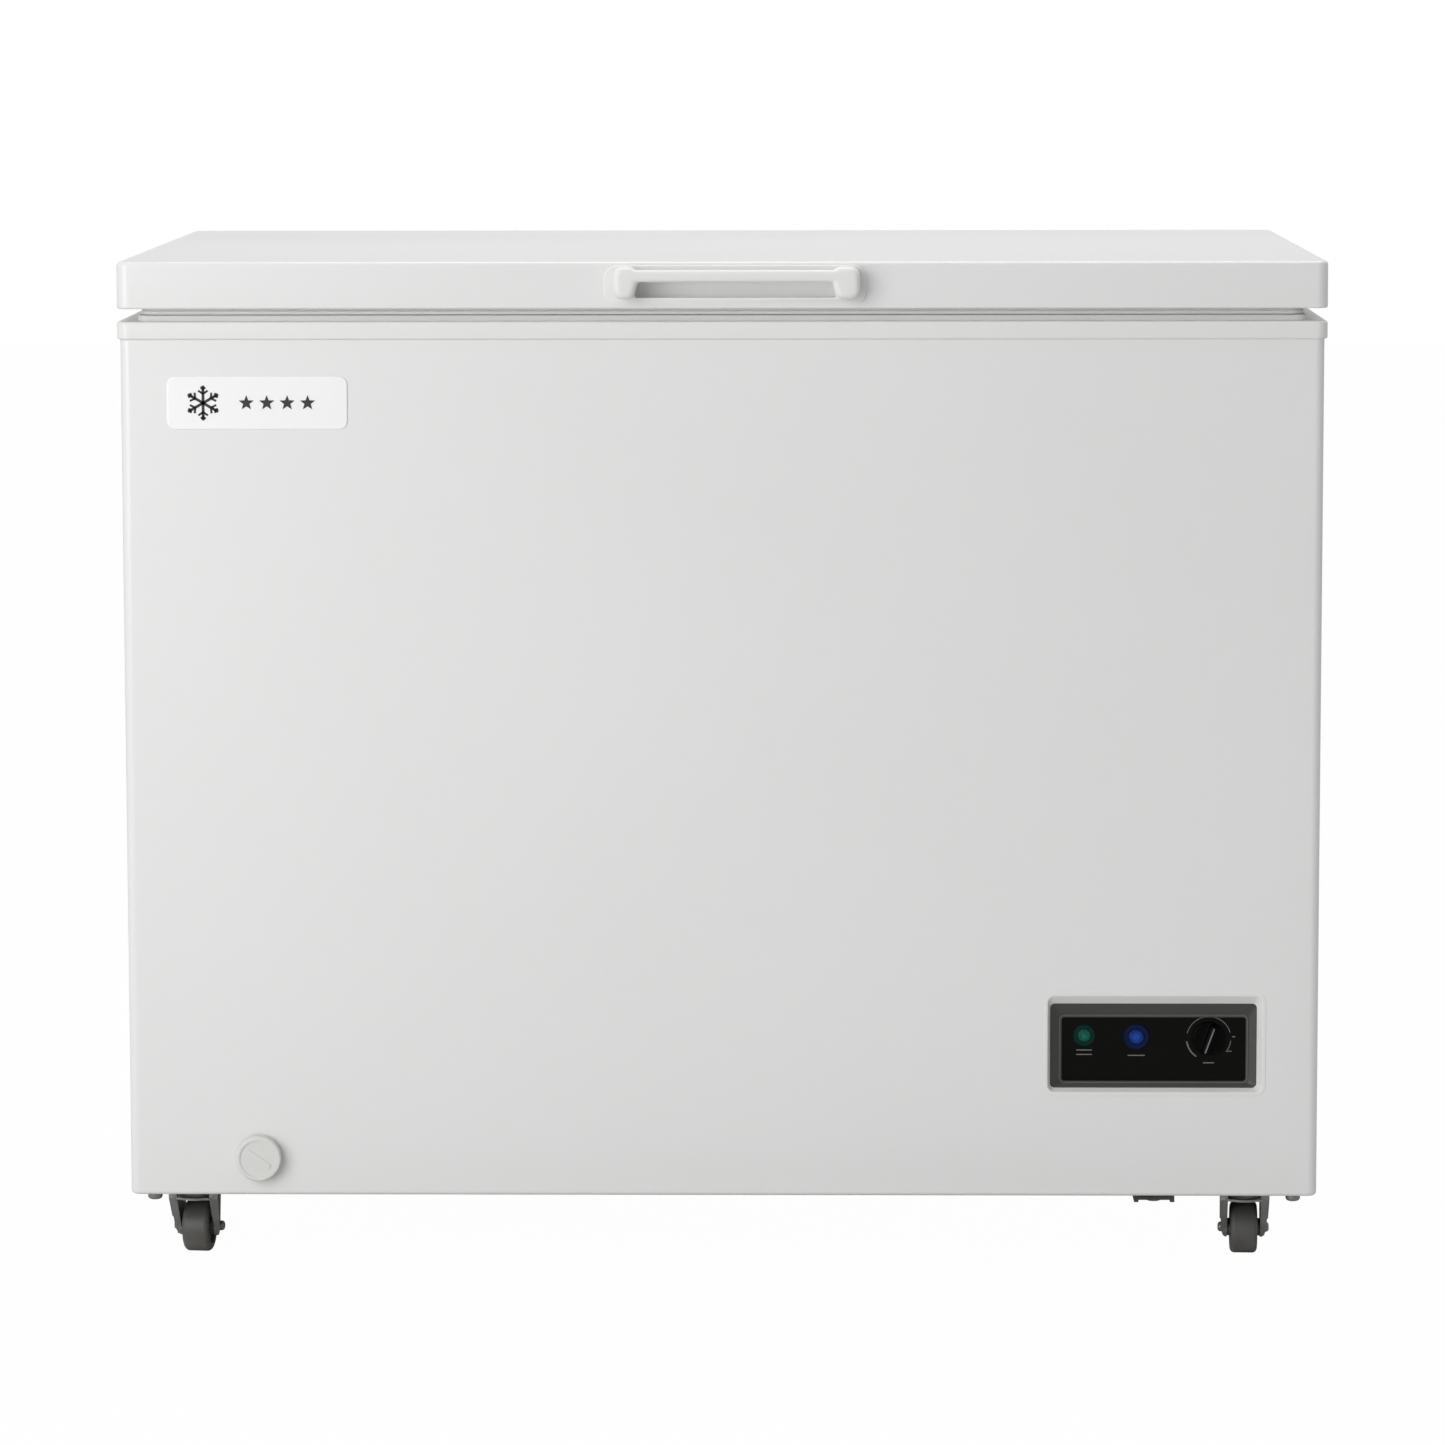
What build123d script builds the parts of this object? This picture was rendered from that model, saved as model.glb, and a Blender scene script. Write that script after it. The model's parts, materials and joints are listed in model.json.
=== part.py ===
from build123d import *
from math import cos, radians, sin
import os

# Chest freezer on casters: a painted steel cabinet foamed round a stepped aluminium tub, with the
# compressor in the machine room under the step, a foamed lid on two sprung hinges, a recessed control
# panel at the lower right of the front, and a drain with a screw cap at the lower left.
#
# Millimetres. +X is the viewer's right, -Y the front, +Z up. The origin is on the floor, under the
# middle of the whole object. The lid is closed.

# ---------------------------------------------------------------- overall sizes
cabinet_width = 1000.0
cabinet_depth = 600.0
overall_height = 850.0
floor_clearance = 63.0        # floor to the cabinet's underside
wall_thickness = 62.0         # cabinet face to the back of the liner
base_thickness = 60.0         # cabinet underside to the underside of the liner's floor

# sheet metal and fits
sheet = 0.8                   # painted steel and liner sheet
corner_radius = 8.0           # cabinet's upright corners
hem_radius = 3.5              # cabinet's rolled bottom edge
base_flange = 25.0            # inward flange round the open base
back_flange = 16.0            # inward flange round the open back
snug = 0.15                   # gap round a piece that is fitted once and stays
free = 0.3                    # gap between pieces that move past each other
running = 0.05                # radial gap of a shaft in its hole

# lid and rim
lid_overhang = 2.5
lid_thickness = 39.0
lid_corner = 10.0
lid_top_round = 3.0
lid_hem_round = 2.0
lid_flange = 14.0
seal_gap = 10.5               # rim deck to the lid's underside
rim_height = 15.0
rim_deck = 2.5
rim_edge_round = 2.0
step_inset = 15.5             # rim's outer face to its raised step
step_width = 34.5
step_height = 4.5
opening_radius = 24.0

# liner and machine room
liner_radius = 20.0
liner_corner = 26.0
machine_room_width = 229.0
machine_room_height = 250.0
step_foam = 50.0              # foam between the machine room and the liner

# ---------------------------------------------------------------- places worked out from them
half_width = cabinet_width / 2
half_depth = cabinet_depth / 2
lid_width = cabinet_width + 2 * lid_overhang
lid_depth = cabinet_depth + 2 * lid_overhang
lid_front = lid_depth / 2
lid_bottom = overall_height - lid_thickness
rim_top = lid_bottom - seal_gap
rim_bottom = rim_top - rim_height
foam_top = rim_top - rim_deck - free
liner_floor = floor_clearance + base_thickness
liner_half_width = half_width - wall_thickness
liner_half_depth = half_depth - wall_thickness
room_left = half_width - sheet - machine_room_width
room_top = floor_clearance + machine_room_height
step_left = room_left - step_foam
step_top = room_top + step_foam
rim_opening_width = cabinet_width - 2 * (wall_thickness + 3)
rim_opening_depth = cabinet_depth - 2 * (wall_thickness + 3)
pan_thickness = 1.2
pan_bottom = floor_clearance + sheet
pan_top = pan_bottom + pan_thickness

FRONT = Plane.XZ.offset(half_depth)       # the cabinet's front face: extrude + comes out, - goes in
BACK = Plane.XZ.offset(-half_depth)       # the cabinet's back face: extrude - comes out, + goes in
RIGHT = Plane.YZ.offset(half_width)       # the cabinet's right face: extrude + comes out, - goes in


def save(piece, name):
    """Labels a finished sub-part and writes its STEP file."""
    piece.part.label = name
    export_step(piece.part, f"parts/{name}.step")


def rounded_block(width, depth, bottom, top, corner, top_round=0.0, bottom_round=0.0, middle_y=0.0):
    """An upright block with round corners and, where asked, round top and bottom edges."""
    with BuildPart() as block:
        with BuildSketch(Plane.XY.offset(bottom)):
            with Locations((0, middle_y)):
                RectangleRounded(width, depth, corner)
        extrude(amount=top - bottom)
        if top_round:
            fillet(block.faces().sort_by(Axis.Z)[-1].edges(), top_round)
        if bottom_round:
            fillet(block.faces().sort_by(Axis.Z)[0].edges(), bottom_round)
    return block.part


def tub_block(grow):
    """The stepped block that the liner's outer faces enclose, grown by a gap on all faces but its top."""
    left, right = -liner_half_width - grow, liner_half_width + grow
    with BuildPart() as block:
        with BuildSketch(Plane.XZ.offset(liner_half_depth + grow)) as profile:
            with BuildLine():
                Polyline(
                    (left, liner_floor - grow),
                    (step_left + grow, liner_floor - grow),
                    (step_left + grow, step_top - grow),
                    (right, step_top - grow),
                    (right, foam_top),
                    (left, foam_top),
                    close=True,
                )
            make_face()
            inner_corner = profile.vertices().filter_by(
                lambda v: v.X > 0 and abs(v.Y - (step_top - grow)) < 1 and v.X < right - 1)
            fillet(inner_corner, liner_radius - grow)
            fillet(profile.vertices().filter_by(
                lambda v: v.Y < step_top + 1 and (v.Y < liner_floor + 1 or v.X > right - 1)),
                liner_corner + grow)
        extrude(amount=-2 * (liner_half_depth + grow))
        fillet(block.faces().filter_by(Axis.Y).edges().filter_by(
            lambda e: e.center().Z < foam_top - 1), liner_radius + grow)
    return block.part


def cylinder_between(low, high, radius, x, y):
    """An upright cylinder from one height to another."""
    with BuildPart() as rod:
        with BuildSketch(Plane.XY.offset(low)):
            with Locations((x, y)):
                Circle(radius)
        extrude(amount=high - low)
    return rod.part


def tube(points, bend, radius, bore=0.0):
    """A round tube along straight runs joined by equal bends."""
    with BuildPart() as piece:
        with BuildLine() as route:
            FilletPolyline(*points, radius=bend)
        with BuildSketch(Plane(origin=route.line @ 0, z_dir=route.line % 0)):
            Circle(radius)
            if bore:
                Circle(bore, mode=Mode.SUBTRACT)
        sweep(path=route.line)
    return piece


os.makedirs("parts", exist_ok=True)

# ---------------------------------------------------------------- control panel places
panel_x, panel_z = half_width - 137.0, 193.0   # middle of the panel's white surround
frame_x, frame_z = panel_x - 1.0, 190.7       # middle of the dark frame
fascia_x, fascia_z = panel_x - 0.5, 186.9     # middle of the black fascia
panel_surround = (180.0, 82.0)            # opening of the surround at the cabinet's face
panel_frame = (173.5, 71.8)
panel_fascia = (154.8, 54.3)
surround_depth = 6.0                      # cabinet face to the dark frame
fascia_depth = 12.0                       # cabinet face to the fascia
surround_wall = 1.2
surround_proud = 0.4
surround_flange = 3.0
panel_cutout = tuple(size + 2 * (surround_wall + snug) for size in panel_surround)

# drain places
drain_x, drain_z = -half_width + 109.2, 96.0
drain_y = -half_depth + 105.0
drain_radius = 9.0
drain_bore = 7.0

# handle places
handle_x = 11.5
handle_reach = 22.0                       # lid face to the handle's front
cup_width, cup_height = 166.0, 20.6       # finger pocket behind the bar
cup_z = 830.4
cup_depth = 14.0
cup_wall = 1.6
cup_flange = (218.0, 33.5)
cup_flange_z = 830.4
cup_flange_corner = 12.0
cup_lip = 6.4                             # height of the sloping lower lip
cup_flange_thickness = 2.0

# vents
side_vent = (190.0, 120.0)
side_vent_y, side_vent_z = 60.0, 185.0
service_opening = (180.0, 200.0)
service_x, service_z = half_width - 128.0, 190.0
service_cover_size = (200.0, 220.0)

# casters
caster_x = {"left": -half_width + 49.0, "right": half_width - 57.0}
front_caster_y = -half_depth + 55.0
rear_caster_y = half_depth - 65.0
wheel_radius = 22.0
wheel_width = 23.0
caster_trail = 14.0
front_steer = {"left": -6.0, "right": -2.0}
caster_plate_size = (46.0, 50.0)
caster_plate_thickness = 2.5
caster_holes = (35.0, 39.0)
caster_screw_radius = 2.5
caster_spots = [(x, y) for x in caster_x.values() for y in (front_caster_y, rear_caster_y)]

# bolts in the corners of the base
base_bolt_x, base_bolt_y = half_width - 19.0, half_depth - 15.0
base_bolt_spots = [(sx * base_bolt_x, sy * base_bolt_y) for sx in (-1, 1) for sy in (-1, 1)]
rail_x = half_width - 135.6
rail_bolt_spots = [(rail_x, y) for y in (-half_depth + 32.0, half_depth - 270.0, half_depth - 50.0)]
base_bolt_radius = 6.2
base_bolt_height = 6.4
base_bolt_shank = 3.0
rail_bolt_head = 3.0
screw_depth = 6.0                         # how far a base screw reaches past the pan

# compressor
compressor_x, compressor_y = half_width - 115.0, half_depth - 170.0
compressor_feet = (120.0, 100.0)
grommet_height = 12.0

# ---------------------------------------------------------------- outer wrapper
wrapper_block = rounded_block(
    cabinet_width, cabinet_depth, floor_clearance, foam_top, corner_radius, bottom_round=hem_radius)
wrapper_hollow = rounded_block(
    cabinet_width - 2 * sheet, cabinet_depth - 2 * sheet, floor_clearance + sheet, overall_height,
    corner_radius - sheet, bottom_round=hem_radius - sheet)
with BuildPart() as outer_wrapper:
    add(wrapper_block)
    add(wrapper_hollow, mode=Mode.SUBTRACT)
    with BuildSketch(Plane.XY.offset(floor_clearance)):
        RectangleRounded(cabinet_width - 2 * base_flange, cabinet_depth - 2 * base_flange, corner_radius)
        with Locations(*base_bolt_spots):
            Circle(base_bolt_shank + snug)
    extrude(amount=sheet, mode=Mode.SUBTRACT)
    with BuildSketch(BACK):
        with Locations((0, floor_clearance + back_flange)):
            Rectangle(cabinet_width - 2 * back_flange, overall_height, align=(Align.CENTER, Align.MIN))
    extrude(amount=sheet, mode=Mode.SUBTRACT)
    with BuildSketch(FRONT):
        with Locations((panel_x, panel_z)):
            RectangleRounded(*panel_cutout, 6)
        with Locations((drain_x, drain_z)):
            Circle(drain_radius + 3 + snug)
    extrude(amount=-sheet, mode=Mode.SUBTRACT)
    with BuildSketch(RIGHT):
        with Locations((side_vent_y, side_vent_z)):
            RectangleRounded(*side_vent, 6)
    extrude(amount=-sheet, mode=Mode.SUBTRACT)
save(outer_wrapper, "outer_wrapper")

# ---------------------------------------------------------------- back panel
back_panel_half = half_width - corner_radius - 1
back_panel_bottom = floor_clearance + 5
with BuildPart() as back_panel:
    with BuildSketch(BACK.offset(sheet)):
        with Locations((0, back_panel_bottom)):
            Rectangle(2 * back_panel_half, foam_top - back_panel_bottom, align=(Align.CENTER, Align.MIN))
        with Locations((service_x, service_z)):
            RectangleRounded(*service_opening, 6, mode=Mode.SUBTRACT)
    extrude(amount=sheet)
save(back_panel, "back_panel")

# ---------------------------------------------------------------- base pan
pan_half_width = half_width - 4
pan_half_depth = half_depth - 4
with BuildPart() as base_pan:
    with BuildSketch(Plane.XY.offset(pan_bottom)):
        RectangleRounded(2 * pan_half_width, 2 * pan_half_depth, corner_radius)
        for spot in caster_spots:
            with Locations(spot):
                with GridLocations(*caster_holes, 2, 2):
                    Circle(caster_screw_radius + snug, mode=Mode.SUBTRACT)
        with Locations(*base_bolt_spots, *rail_bolt_spots):
            Circle(base_bolt_shank + snug, mode=Mode.SUBTRACT)
    extrude(amount=pan_thickness)
save(base_pan, "base_pan")

# ---------------------------------------------------------------- wound tubes, buried in the foam
tube_radius = 4.0
tube_groove = tube_radius + 0.5


def wound_route(half_x, half_y, low, high, turns, middle_x=0.0):
    """Corner points of a tube that climbs round a rectangle, one rise for each turn."""
    rise = (high - low) / turns
    points = []
    for turn in range(turns):
        z = low + turn * rise
        points += [
            (middle_x - half_x, -half_y, z),
            (middle_x + half_x, -half_y, z),
            (middle_x + half_x, half_y, z),
            (middle_x - half_x, half_y, z + rise / 2),
        ]
    return points


evaporator_offset = tube_radius + 0.5
evaporator_route = wound_route(
    liner_half_width + evaporator_offset, liner_half_depth + evaporator_offset,
    step_top + 40, foam_top - 60, 6)
evaporator_bend = liner_radius + evaporator_offset
evaporator_coil = tube(evaporator_route, evaporator_bend, tube_radius)
save(evaporator_coil, "evaporator_coil")
evaporator_groove = tube(evaporator_route, evaporator_bend, tube_groove)

condenser_offset = sheet + tube_radius + 2.0
condenser_route = wound_route(
    half_width - condenser_offset, half_depth - condenser_offset, step_top + 10, foam_top - 40, 5)
condenser_bend = 20.0
condenser_coil = tube(condenser_route, condenser_bend, tube_radius)
save(condenser_coil, "condenser_coil")
condenser_groove = tube(condenser_route, condenser_bend, tube_groove)

# ---------------------------------------------------------------- inner liner
liner_block = tub_block(0)
with BuildPart() as inner_liner:
    add(liner_block)
    offset(amount=-sheet, openings=inner_liner.faces().sort_by(Axis.Z)[-1])
    with BuildSketch(Plane.XY.offset(liner_floor)):
        with Locations((drain_x, drain_y)):
            Circle(drain_radius + snug)
    extrude(amount=sheet, mode=Mode.SUBTRACT)
save(inner_liner, "inner_liner")

# ---------------------------------------------------------------- drain: floor fitting, pipe and spout
spout_flange = 15.5
spout_reach = 8.0
drain_flange = 15.0
drain_route = [
    (drain_x, -half_depth - spout_reach, drain_z),
    (drain_x, drain_y, drain_z),
    (drain_x, drain_y, liner_floor + sheet),
]
drain_bend = 15.0
drain_pipe = tube(drain_route, drain_bend, drain_radius)
drain_pipe_void = tube(drain_route, drain_bend, drain_bore)
drain_groove = tube(drain_route, drain_bend, drain_radius + snug)
with BuildPart() as drain_tube:
    add(drain_pipe.part)
    with BuildSketch(FRONT):
        with Locations((drain_x, drain_z)):
            Circle(spout_flange)
    extrude(amount=2)
    with BuildSketch(FRONT):
        with Locations((drain_x, drain_z)):
            Circle(drain_radius + 3)
    extrude(amount=-4)
    with BuildSketch(Plane.XY.offset(liner_floor + sheet)):
        with Locations((drain_x, drain_y)):
            Circle(drain_flange)
    extrude(amount=0.8)
    add(drain_pipe_void.part, mode=Mode.SUBTRACT)
    with BuildSketch(Plane.XY.offset(liner_floor + sheet)):
        with Locations((drain_x, drain_y)):
            Circle(drain_bore)
    extrude(amount=0.8, mode=Mode.SUBTRACT)
save(drain_tube, "drain_tube")

# ---------------------------------------------------------------- foam
foam_back = half_depth - 2 * sheet - snug
foam_front = -(half_depth - sheet - snug)
foam_block = rounded_block(
    cabinet_width - 2 * (sheet + snug), foam_back - foam_front, pan_top + snug, foam_top,
    corner_radius, bottom_round=5.0, middle_y=(foam_back + foam_front) / 2)
foam_cavity = tub_block(snug)
with BuildPart() as foam_insulation:
    add(foam_block)
    add(foam_cavity, mode=Mode.SUBTRACT)
    with BuildSketch(Plane.XY.offset(floor_clearance)):
        with Locations((room_left - sheet - snug, 0)):
            Rectangle(half_width, 2 * cabinet_depth, align=(Align.MIN, Align.CENTER))
    extrude(amount=machine_room_height + sheet + snug, mode=Mode.SUBTRACT)
    add(evaporator_groove.part, mode=Mode.SUBTRACT)
    add(condenser_groove.part, mode=Mode.SUBTRACT)
    add(drain_groove.part, mode=Mode.SUBTRACT)
    with BuildSketch(FRONT):
        with Locations((drain_x, drain_z)):
            Circle(drain_radius + 3 + snug)
    extrude(amount=-5, mode=Mode.SUBTRACT)
    with BuildSketch(Plane.XY.offset(pan_top)):
        for spot in caster_spots:
            with Locations(spot):
                with GridLocations(*caster_holes, 2, 2):
                    Circle(caster_screw_radius + snug)
        with Locations(*base_bolt_spots):
            Circle(base_bolt_shank + snug)
    extrude(amount=screw_depth + snug, mode=Mode.SUBTRACT)
save(foam_insulation, "foam_insulation")

# ---------------------------------------------------------------- bulkhead between foam and machine room
room_envelope = rounded_block(
    cabinet_width - 2 * (sheet + snug), foam_back - foam_front, pan_top, foam_top, corner_radius,
    middle_y=(foam_back + foam_front) / 2)
with BuildPart() as bulkhead:
    with BuildSketch(Plane.XZ.offset(half_depth - sheet - snug)):
        with BuildLine():
            Polyline(
                (room_left - sheet, pan_top),
                (room_left, pan_top),
                (room_left, room_top),
                (half_width - sheet - snug, room_top),
                (half_width - sheet - snug, room_top + sheet),
                (room_left - sheet, room_top + sheet),
                close=True,
            )
        make_face()
    extrude(amount=-(foam_back - foam_front))
    add(room_envelope, mode=Mode.INTERSECT)
save(bulkhead, "bulkhead")

# ---------------------------------------------------------------- rim frame
rim_block = rounded_block(
    lid_width, lid_depth, rim_bottom, rim_top, lid_corner, rim_edge_round, rim_edge_round)
step_outer = (lid_width - 2 * step_inset, lid_depth - 2 * step_inset)
step_inner = (step_outer[0] - 2 * step_width, step_outer[1] - 2 * step_width)
rim_step = rounded_block(*step_outer, rim_top, rim_top + step_height, lid_corner, top_round=1.4)
skirt_drop = 18.0
with BuildPart() as rim_frame:
    add(rim_block)
    add(rim_step)
    with BuildSketch(Plane.XY.offset(rim_top)):
        RectangleRounded(*step_inner, opening_radius + 8)
    extrude(amount=step_height, mode=Mode.SUBTRACT)
    with BuildSketch(Plane.XY.offset(rim_bottom)):
        RectangleRounded(cabinet_width + 2 * snug, cabinet_depth + 2 * snug, corner_radius + snug)
    extrude(amount=rim_height - rim_deck, mode=Mode.SUBTRACT)
    with BuildSketch(Plane.XY.offset(rim_top - skirt_drop)):
        RectangleRounded(
            rim_opening_width + 4, rim_opening_depth + 4, opening_radius + 2)
    extrude(amount=skirt_drop)
    with BuildSketch(Plane.XY.offset(rim_top - skirt_drop)):
        RectangleRounded(rim_opening_width, rim_opening_depth, opening_radius)
    extrude(amount=skirt_drop, mode=Mode.SUBTRACT)
save(rim_frame, "rim_frame")

# ---------------------------------------------------------------- machine room
rail_width = 34.0
rail_height = 8.8
rail_leg = 3.7
rail_web_bottom, rail_web = 1.9, 3.0      # web's height above the legs' lower edges, and its thickness
rail_front, rail_back = -half_depth + 18, half_depth - 25
rail_foot = floor_clearance - rail_height
rail_seat = rail_foot + rail_web_bottom
with BuildPart() as compressor_rail:
    with BuildSketch(Plane.XZ.offset(-rail_front)):
        with Locations((rail_x, rail_foot)):
            Rectangle(rail_width, rail_height, align=(Align.CENTER, Align.MIN))
            Rectangle(rail_width - 2 * rail_leg, rail_height, align=(Align.CENTER, Align.MIN),
                      mode=Mode.SUBTRACT)
        with Locations((rail_x, rail_seat)):
            Rectangle(rail_width - 2 * rail_leg, rail_web, align=(Align.CENTER, Align.MIN))
    extrude(amount=-(rail_back - rail_front))
    with BuildSketch(Plane.XY.offset(rail_seat)):
        with Locations(*rail_bolt_spots):
            Circle(base_bolt_shank + snug)
    extrude(amount=rail_web, mode=Mode.SUBTRACT)
save(compressor_rail, "compressor_rail")

foot_spots = [(compressor_x + sx * compressor_feet[0] / 2, compressor_y + sy * compressor_feet[1] / 2)
              for sx in (-1, 1) for sy in (-1, 1)]
foot_bottom = pan_top + grommet_height
foot_thickness = 2.5
can_radius = 70.0
can_bottom = foot_bottom + foot_thickness + 6
can_height = 165.0
seam_z = can_bottom + 0.55 * can_height
with BuildPart() as compressor:
    with BuildSketch(Plane.XZ.offset(-compressor_y)):
        with BuildLine():
            Polyline((compressor_x, foot_bottom + foot_thickness), (compressor_x + 30, foot_bottom
                     + foot_thickness), (compressor_x + 30, can_bottom))
            Line((compressor_x + 30, can_bottom), (compressor_x + can_radius - 18, can_bottom))
            RadiusArc((compressor_x + can_radius - 18, can_bottom),
                      (compressor_x + can_radius, can_bottom + 18), -18)
            Polyline((compressor_x + can_radius, can_bottom + 18), (compressor_x + can_radius, seam_z),
                     (compressor_x + can_radius + 3, seam_z), (compressor_x + can_radius + 3, seam_z + 5),
                     (compressor_x + can_radius - 3, seam_z + 5),
                     (compressor_x + can_radius - 3, can_bottom + can_height - 40))
            RadiusArc((compressor_x + can_radius - 3, can_bottom + can_height - 40),
                      (compressor_x + can_radius - 43, can_bottom + can_height), -40)
            Polyline((compressor_x + can_radius - 43, can_bottom + can_height),
                     (compressor_x, can_bottom + can_height), (compressor_x, foot_bottom + foot_thickness))
        make_face()
    revolve(axis=Axis((compressor_x, compressor_y, 0), (0, 0, 1)))
    with BuildSketch(Plane.XY.offset(foot_bottom)):
        with Locations((compressor_x, compressor_y)):
            RectangleRounded(compressor_feet[0] + 34, compressor_feet[1] + 34, 14)
        with Locations(*foot_spots):
            Circle(5, mode=Mode.SUBTRACT)
    extrude(amount=foot_thickness)

with BuildPart() as compressor_grommets:
    with BuildSketch(Plane.XY.offset(pan_top)):
        with Locations(*foot_spots):
            Circle(12)
            Circle(3 + snug, mode=Mode.SUBTRACT)
    extrude(amount=grommet_height)
    fillet(compressor_grommets.edges().filter_by(GeomType.CIRCLE).filter_by(
        lambda e: e.radius > 10), 1.5)
save(compressor_grommets, "compressor_grommets")

bolt_washer_z = foot_bottom + foot_thickness
with BuildPart() as compressor_bolts:
    with BuildSketch(Plane.XY.offset(pan_top)):
        with Locations(*foot_spots):
            Circle(3)
    extrude(amount=grommet_height + foot_thickness + 14)
    with BuildSketch(Plane.XY.offset(bolt_washer_z)):
        with Locations(*foot_spots):
            Circle(9)
    extrude(amount=1.6)
    with BuildSketch(Plane.XY.offset(bolt_washer_z + 1.6)):
        with Locations(*foot_spots):
            RegularPolygon(5.5, 6)
    extrude(amount=5)
save(compressor_bolts, "compressor_bolts")

relay_size = (52.0, 30.0, 62.0)
relay_y = compressor_y - can_radius - 3 - snug - relay_size[1] / 2
with BuildPart() as relay_cover:
    with BuildSketch(Plane.XY.offset(can_bottom + 22)):
        with Locations((compressor_x, relay_y)):
            RectangleRounded(relay_size[0], relay_size[1], 4)
    extrude(amount=relay_size[2])
    fillet(relay_cover.faces().sort_by(Axis.Z)[-1].edges(), 3)
save(relay_cover, "relay_cover")

# sockets on the can, and the pipes that leave them
pipe_radius = 3.0
pipe_bend = 10.0
socket_radius = 5.0
socket_length = 12.0
suction_z, discharge_z = can_bottom + 80, can_bottom + 40
socket_end = compressor_x - can_radius - socket_length
with BuildPart() as compressor_sockets:
    with BuildSketch(Plane.YZ.offset(socket_end)):
        with Locations((compressor_y, suction_z), (compressor_y, discharge_z)):
            Circle(socket_radius)
    extrude(amount=socket_length + 10)
with BuildPart() as compressor_can:
    add(compressor.part)
    add(compressor_sockets.part)
save(compressor_can, "compressor")

pipe_wall_x = socket_end - 14
drier_x, drier_y = half_width - 200.0, compressor_y - 120.0
drier_bottom, drier_length, drier_radius = 175.0, 95.0, 9.5
capillary_radius = 1.5
pipe_runs = [
    ([(socket_end, compressor_y, discharge_z), (pipe_wall_x, compressor_y, discharge_z),
      (pipe_wall_x, compressor_y - 65, discharge_z), (pipe_wall_x, compressor_y - 65, room_top)],
     pipe_bend, pipe_radius),
    ([(socket_end, compressor_y, suction_z), (pipe_wall_x, compressor_y, suction_z),
      (pipe_wall_x, compressor_y + 70, suction_z), (pipe_wall_x, compressor_y + 70, room_top)],
     pipe_bend, pipe_radius),
    ([(drier_x, drier_y, drier_bottom), (drier_x, drier_y, drier_bottom - 28),
      (drier_x, drier_y - 34, drier_bottom - 28), (drier_x, drier_y - 34, room_top)],
     pipe_bend, capillary_radius),
]
with BuildPart() as copper_pipes:
    for points, bend, radius in pipe_runs:
        add(tube(points, bend, radius).part)
    add(cylinder_between(drier_bottom + drier_length, room_top, pipe_radius, drier_x, drier_y))
save(copper_pipes, "copper_pipes")

neck = 12.0
with BuildPart() as filter_drier:
    with BuildSketch(Plane.XZ.offset(-drier_y)):
        with BuildLine():
            Polyline(
                (drier_x, drier_bottom),
                (drier_x + pipe_radius + 0.8, drier_bottom),
                (drier_x + drier_radius, drier_bottom + neck),
                (drier_x + drier_radius, drier_bottom + drier_length - neck),
                (drier_x + pipe_radius + 0.8, drier_bottom + drier_length),
                (drier_x, drier_bottom + drier_length),
                close=True,
            )
        make_face()
    revolve(axis=Axis((drier_x, drier_y, 0), (0, 0, 1)))
save(filter_drier, "filter_drier")

# ---------------------------------------------------------------- rear service cover, gland and side grille
cover_thickness = 1.0
cover_face = half_depth - sheet + cover_thickness
louvre_length, louvre_reach, louvre_height, louvre_pitch = 74.0, 4.2, 8.0, 17.0
louvre_rows = 8
louvre_bottom = service_z - louvre_pitch * (louvre_rows - 1) / 2 + 6
gland_x, gland_z = service_x + 78, service_z - 90
gland_hole = 9.0
cover_screw_spots = [(service_x + sx * (service_cover_size[0] / 2 - 4.5), service_z + dz)
                     for sx in (-1, 1) for dz in (-104, 0, 104)]
with BuildPart() as service_cover:
    with BuildSketch(BACK.offset(sheet)):
        with Locations((service_x, service_z)):
            RectangleRounded(*service_cover_size, 5)
        with Locations((gland_x, gland_z)):
            Circle(gland_hole, mode=Mode.SUBTRACT)
    extrude(amount=-cover_thickness)
    for side in (-1, 1):
        louvre_start = service_x + side * 42 - louvre_length / 2
        with BuildSketch(Plane.YZ.offset(louvre_start)):
            for row in range(louvre_rows):
                z = louvre_bottom + row * louvre_pitch
                with BuildLine():
                    Polyline(
                        (cover_face, z + louvre_height),
                        (cover_face + louvre_reach, z),
                        (cover_face + louvre_reach - 1, z),
                        (cover_face, z + louvre_height - 2),
                        close=True,
                    )
                make_face()
        extrude(amount=louvre_length)
        with BuildSketch(BACK.offset(sheet)):
            for row in range(louvre_rows):
                z = louvre_bottom + row * louvre_pitch
                with Locations((service_x + side * 42, z)):
                    Rectangle(louvre_length, louvre_height - 2, align=(Align.CENTER, Align.MIN))
        extrude(amount=-cover_thickness, mode=Mode.SUBTRACT)
save(service_cover, "service_cover")

with BuildPart() as cord_gland:
    with BuildSketch(Plane.XZ.offset(-cover_face)):
        with Locations((gland_x, gland_z)):
            Circle(gland_hole + 3)
    extrude(amount=-3)
    fillet(cord_gland.faces().sort_by(Axis.Y)[-1].edges(), 1)
    with BuildSketch(Plane.XZ.offset(-cover_face)):
        with Locations((gland_x, gland_z)):
            Circle(gland_hole - snug)
    extrude(amount=12)
    with BuildSketch(Plane.XZ.offset(-cover_face - 3)):
        with Locations((gland_x, gland_z)):
            Circle(4)
    extrude(amount=15, mode=Mode.SUBTRACT)
save(cord_gland, "cord_gland")

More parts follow.
